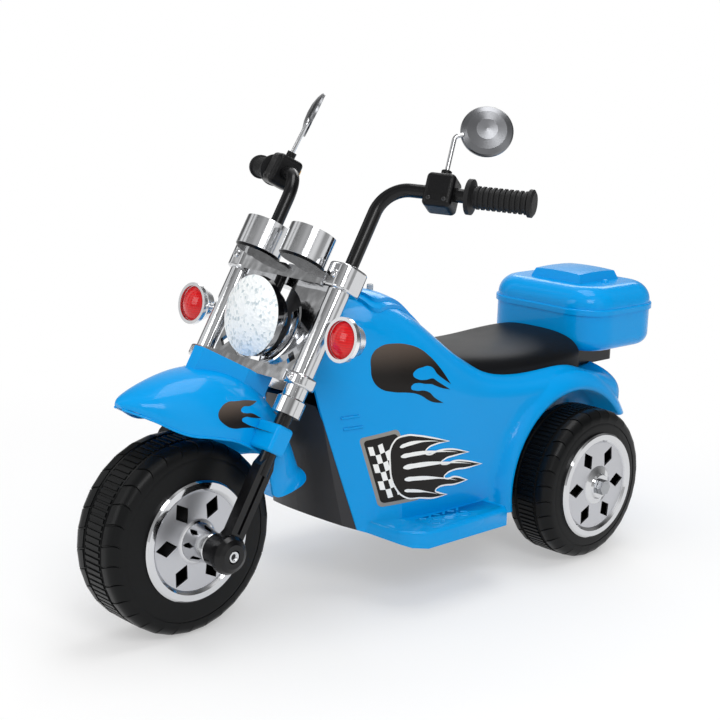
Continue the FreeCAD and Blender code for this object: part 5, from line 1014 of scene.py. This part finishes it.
def body_moulding(finish):
    """The body with the upper edges and corners of its footboards rounded over."""
    bm = bmesh.new()
    bm.from_mesh(NODES["body_shell"].data)
    bmesh.ops.remove_doubles(bm, verts=bm.verts, dist=1e-6)
    verts = [vert for vert in bm.verts if on_board(vert)]
    edges = [edge for edge in bm.edges if all(on_board(vert) for vert in edge.verts)]
    bmesh.ops.dissolve_limit(bm, angle_limit=math.radians(0.5), verts=verts, edges=edges)
    # The tread pads draw in, so that a level strip is left round them, and so does the pedal's outer ear.
    for vert in bm.verts:
        x, y, z = vert.co / MM
        if z < BOARD_TOP - NEAR:
            continue
        if on_board(vert) and z < PAD_TOP + NEAR:
            if abs(abs(y) - PAD_FAR) < NEAR:
                vert.co.y = math.copysign(PAD_FAR - PAD_INSET, y) * MM
            if abs(x - PAD_REAR) < NEAR:
                vert.co.x = (PAD_REAR + PAD_INSET) * MM
        if abs(y + EAR_FAR) < NEAR and -45 < x < -20:
            vert.co.y += EAR_INSET * MM
    rims = []
    for edge in bm.edges:
        if not all(on_board(vert) for vert in edge.verts) or len(edge.link_faces) != 2 or not edge.is_convex:
            continue
        level = all(abs(vert.co.z / MM - BOARD_TOP) < 0.02 for vert in edge.verts)
        if level and edge.calc_face_angle() > 1.0:
            rims.append(edge)
    bmesh.ops.bevel(bm, geom=rims, offset=sizes().board_round, offset_type="OFFSET", segments=4, profile=0.5,
                    affect="EDGES", clamp_overlap=False)
    bmesh.ops.triangulate(bm, faces=bm.faces)
    bm.normal_update()
    for face in bm.faces:
        face.smooth = abs(face.normal.z) < 0.999 or not all(on_board(vert) for vert in face.verts)
    mesh = poured(bm, "body_moulding")
    mesh.set_sharp_from_angle(angle=math.radians(30))
    mesh.materials.clear()
    mesh.materials.append(finish)
    return settle(plain_object("body_moulding", mesh), "frame", "blue_plastic", "body_shell")


# The front fender's edge: degrees round the wheel, radius and half width.
FENDER_EDGE = ((64, 171, 6), (70, 152, 28), (82, 126, 47), (96, 119, 56), (112, 117, 62), (130, 112, 70),
               (145, 96, 73))
# The short creases on the body's sides, each from its front end to its rear end.
CREASES = (((141.3, 61.1, 223.2), (121.3, 70.8, 225.3)), ((138.3, 62.5, 210.1), (117.3, 72.6, 212.1)))
CREASE_RADIUS = 1.6


class TRIKE_OT_bodywork(bpy.types.Operator):
    """Finishes the mouldings of the body, seat, box and fender"""

    bl_idname = "trike.bodywork"
    bl_label = "Bodywork"

    def execute(self, context):
        blue = gloss_blue()
        dressed(blue, "body_shell", "tank_cover", "storage_box", "storage_lid", "front_fender")
        body_moulding(blue)
        dressed(grained("satin_charcoal_polypropylene", paint("charcoal"), 0.42, 1.2, 0.12), "chassis")
        # The seat's grain is drawn at 2.4 mm, coarser than the real moulding, so that it shows.
        dressed(grained("grained_black_seat", paint("seat"), 0.42, 2.4, 0.16, 0.12, 0.07), "seat")
        dressed(gloss_black(), "tail_bracket")
        places = []
        for side, label in SIDES:
            points = []
            for degrees, radius, half in FENDER_EDGE:
                angle = math.radians(degrees)
                points.append(FRONT_HUB + Vector((math.cos(angle), 0, math.sin(angle))) * radius + LEFT * half * side)
            bead("fender_lip_" + label, points, sizes().lip, blue, "steering", "blue_plastic")
            for i, ends in enumerate(CREASES):
                line = [Vector(end) * Vector((1, side, 1)) for end in ends]
                bead("body_crease_%s_%d" % (label, i + 1), line, CREASE_RADIUS * MM, blue, "frame", "blue_plastic")
            # The pedal stands on the front of the right footboard, so that side has only the last rows of studs.
            for i in range(0 if side > 0 else 4, 6):
                for j in range(3):
                    slant = 0.8 if (i + j) % 2 else -0.8
                    places.append((Vector((52 - i * 12, side * (113 + j * 11), PAD_TOP)), UP, Vector((1, slant, 0))))
        stud = bar_mesh(9, 3.2, sizes().stud / MM)
        scattered("footboard_studs", scatter_tree(), stud, places, blue, "frame", "blue_plastic")
        return {"FINISHED"}


# Radius and half width of the tyres.
FRONT_TYRE, REAR_TYRE = (110, 38), (98, 35)
# The round head of an axle bolt: radius and height.
AXLE_BOLT = ((2.6, -0.2), (6.6, -0.2), (6.8, 1.2), (6.0, 2.4), (4.2, 2.5), (3.4, 1.8), (2.6, 0.6))


class TRIKE_OT_wheels(bpy.types.Operator):
    """Makes the tyres with their tread and finishes the rims and axle ends"""

    bl_idname = "trike.wheels"
    bl_label = "Wheels"

    def execute(self, context):
        rubber = grained("satin_black_polyethylene", paint("tyre"), 0.32, 0.9, 0.1, 0.05, 0.16)
        tree = tread_tree()
        tyre("front_tread", tree, "front_tyre", "front_wheel", *FRONT_TYRE, FRONT_HUB, -35, rubber)
        for (side, label), hub_in in zip(SIDES, (-39, -32)):
            tyre("rear_tread_" + label, tree, "rear_tyre_" + label, "rear_%s_wheel" % label, *REAR_TYRE,
                 REAR_HUB + LEFT * REAR_WHEEL_MIDDLE * side, hub_in, rubber)
        dressed(rim_chrome("plated_front_rim", FRONT_HUB), "front_rims")
        dressed(rim_chrome("plated_rear_rim", REAR_HUB), "rear_rim_left", "rear_rim_right")
        dressed(gloss_black(), "axle_caps")
        dressed(zinc_steel(), "front_axle", "rear_axle", "rear_axle_nuts")
        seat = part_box("axle_caps")[1].y / MM - 2.7
        places = [(Vector((FRONT_HUB.x, side * seat, FRONT_HUB.z)), LEFT * side, Vector((1, 0, 0)))
                  for side, _ in SIDES]
        bolt = mesh_from(stand_up(turned(AXLE_BOLT, 32)), "bolt", 40)
        scattered("axle_bolts", scatter_tree(), bolt, places, chrome("plated_bolt", 0.12, 4), "steering",
                  "chrome_plastic")
        return {"FINISHED"}


# The gauge cups' foot, up the fork, and the dials' middles: ahead, aside and up the fork.
CUP_FOOT = 331
DIAL = (24, 38, 363.25)
# The share of the headlight shell's height that is plated.
SHELL_PLATED = 0.56


class TRIKE_OT_front_end(bpy.types.Operator):
    """Finishes the fork, lamps and gauges and adds their bolts and marks"""

    bl_idname = "trike.front_end"
    bl_label = "Fork, lamps and gauges"

    def execute(self, context):
        plate = chrome("chrome_plated_abs")
        dressed(plate, "fork_sleeve_left", "fork_sleeve_right", "headlight_reflector")
        dressed(chrome("bright_chrome_bezel", 0.2, 9, 0.2, "EDEEF0"), "signal_housing_left", "signal_housing_right")
        wavy = chrome("wavy_chrome_fascia", 0.09, 16, 1.6)
        dressed(wavy, "fork_fascia", "upper_crown", "lower_crown")
        foot = fork_point(0, 0, CUP_FOOT).dot(FORK_UP)
        dressed(part_plated("chrome_cup_black_foot", FORK_UP, foot - 0.4, foot + 0.4, 0.14, 30, 0.1), "gauge_cups")
        low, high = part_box("headlight_shell")
        edge = -(low.z + SHELL_PLATED * (high.z - low.z)) / MM
        dressed(part_plated("chrome_shell_black_hood", -UP, edge - 2, edge + 2, 0.1, 14, 0.8), "headlight_shell")
        dressed(gloss_black(), "fork_leg_left", "fork_leg_right")
        for side, label in SIDES:
            lamp_surround("lamp_surround_" + label, side, wavy)
        dressed(zinc_steel(), "steering_stem")
        dressed(lamp_glass(), "headlight_lens")
        dressed(signal_glass(), "signal_lenses")
        dressed(tinted("black_dial_card", "0C0D0F", 0.5), "gauge_dials")
        tree = scatter_tree()
        bolts = [(fork_point(13, side * 85, up), FORK_AHEAD, LEFT) for side, _ in SIDES for up in (203, 327)]
        scattered("crown_bolts", tree, screw_mesh(5, 2.6), bolts, plate, "steering", "chrome_plastic")
        marks, needles = [], []
        for side, _ in SIDES:
            ahead, aside, up = DIAL
            middle = fork_point(ahead, side * aside, up)

            def round_dial(degrees):
                angle = math.radians(degrees)
                return LEFT * math.sin(angle) - FORK_AHEAD * math.cos(angle)

            for i in range(9):
                out = round_dial(-135 + i * 270 / 8)
                marks.append((middle + out * 19, FORK_UP, out))
            out = round_dial(-70 + 35 * side)
            needles.append((middle + FORK_UP * 0.3 + out * 5, FORK_UP, out))
        scattered("gauge_marks", tree, bar_mesh(5, 1.3, 0.3), marks, tinted("white_dial_ink", "E6E6E2", 0.5),
                  "steering", "black_plastic")
        scattered("gauge_needles", tree, bar_mesh(20, 1.6, 0.6), needles, tinted("red_needle", "C21A16", 0.4),
                  "steering", "black_plastic")
        return {"FINISHED"}


class TRIKE_OT_controls(bpy.types.Operator):
    """Finishes the bars, grips, switch boxes, buttons and mirrors"""

    bl_idname = "trike.controls"
    bl_label = "Bars and controls"

    def execute(self, context):
        dressed(gloss_black(), "handlebar_left", "handlebar_right", "accelerator_pedal")
        dressed(switch_black(), "switch_box_left", "switch_box_right")
        dressed(grained("ribbed_black_rubber", linear("131314"), 0.55, 0.8, 0.08), "grip_left", "grip_right")
        dressed(tinted("red_button", "B3141A", 0.25), "horn_button")
        dressed(tinted("yellow_button", "E0A412", 0.25), "music_button")
        dressed(tinted("clear_grey_button", "C4C8CA", 0.2, 0.4), "start_button")
        dressed(chrome("satin_mirror_plate", 0.3, 40, 0.05, "808184"), "mirror_head_left", "mirror_head_right")
        dressed(chrome("plated_mirror_stem", 0.12), "mirror_stem_left", "mirror_stem_right")
        along = SWITCH_UP.cross(SWITCH_FRONT)
        places = []
        for side, _ in SIDES:
            flip = Vector((1, side, 1))
            for way in (1, -1):
                point = SWITCH_BOX + SWITCH_FRONT * 16.9 + along * 9 * way - SWITCH_UP * 12
                places.append((point * flip, SWITCH_FRONT * flip, SWITCH_UP * flip))
        scattered("switch_screws", scatter_tree(), screw_mesh(2.6, 1.0), places,
                  tinted("black_oxide_screw", "232325", 0.3), "steering", "steel")
        return {"FINISHED"}


class TRIKE_OT_ornaments(bpy.types.Operator):
    """Lays the printed films on the tank, the fender and the sides"""

    bl_idname = "trike.ornaments"
    bl_label = "Printed films"

    def execute(self, context):
        dark, fade = paint("film_dark"), paint("film_fade")
        tank = film_print("dark_flame_film", dark, fade, 268, 312)
        fender = film_print("dark_fender_film", dark, fade, 240, 266)
        ground = film_print("black_plate_film", dark)
        border = film_print("grey_border_film", paint("film_edge"))
        white = film_print("white_print", linear("F2F2EF"))
        layers = [([plate_outline(0, 0, 0.1, 0.06)], border, 1),
                  ([plate_outline(0.08, 0.05, 0.09, 0.05)], ground, 2),
                  (plate_checks(4, 6, 0.14, 0.62, 0.12, 0.86), white, 3),
                  ([swollen(SIDE_FLAME, 2)], white, 4),
                  ([SIDE_FLAME], ground, 5)]
        layers += [([lick(*row)], white, 6) for row in LICKS]
        for side, label in SIDES:
            film("tank_flame_" + label, [([TANK_FLAME], tank, 1)], "body_shell", side, "frame", "black_plastic")
            film("fender_flame_" + label, [([FENDER_FLAME], fender, 1)], "front_fender", side, "steering",
                 "black_plastic")
            film("side_plate_" + label, layers, "body_shell", side, "frame", "black_plastic")
        return {"FINISHED"}


class TRIKE_OT_running_gear(bpy.types.Operator):
    """Finishes the battery, drive, wiring and fasteners inside"""

    bl_idname = "trike.running_gear"
    bl_label = "Running gear"

    def execute(self, context):
        dressed(grained("satin_grey_polypropylene", linear("7E8184"), 0.45, 1.0, 0.1), "battery", "gearbox",
                "drive_hub")
        dressed(zinc_steel(), "drive_motor", "box_hinge_pin", "pedal_pin", "body_screws")
        dressed(grained("satin_black_nylon", linear("1A1A1B"), 0.5, 0.9, 0.08), "speaker", "charge_socket",
                "pedal_switch", "wiring_harness", "steering_bushes")
        return {"FINISHED"}


OPERATORS = (TRIKE_OT_stage, TRIKE_OT_bodywork, TRIKE_OT_wheels, TRIKE_OT_front_end, TRIKE_OT_controls,
             TRIKE_OT_ornaments, TRIKE_OT_running_gear)


class TRIKE_PT_panel(bpy.types.Panel):
    """Lists the steps that dress the trike"""

    bl_idname = "TRIKE_PT_panel"
    bl_label = "Chopper Trike"
    bl_space_type = "VIEW_3D"
    bl_region_type = "UI"
    bl_category = "Trike"

    def draw(self, context):
        for operator in OPERATORS:
            self.layout.operator(operator.bl_idname)
        settings = context.scene.trike
        for group in (settings.colours, settings.sizes):
            for name in group.__annotations__:
                self.layout.prop(group, name)


CLASSES = (TrikeColours, TrikeSizes, TrikeSettings, *OPERATORS, TRIKE_PT_panel)


def register():
    for kind in CLASSES:
        bpy.utils.register_class(kind)
    bpy.types.Scene.trike = PointerProperty(type=TrikeSettings)


def unregister():
    del bpy.types.Scene.trike
    for kind in reversed(CLASSES):
        bpy.utils.unregister_class(kind)


def main():
    register()
    bpy.ops.trike.stage()
    bpy.ops.trike.bodywork()
    bpy.ops.trike.wheels()
    bpy.ops.trike.front_end()
    bpy.ops.trike.controls()
    bpy.ops.trike.ornaments()
    bpy.ops.trike.running_gear()


if __name__ == "__main__":
    main()
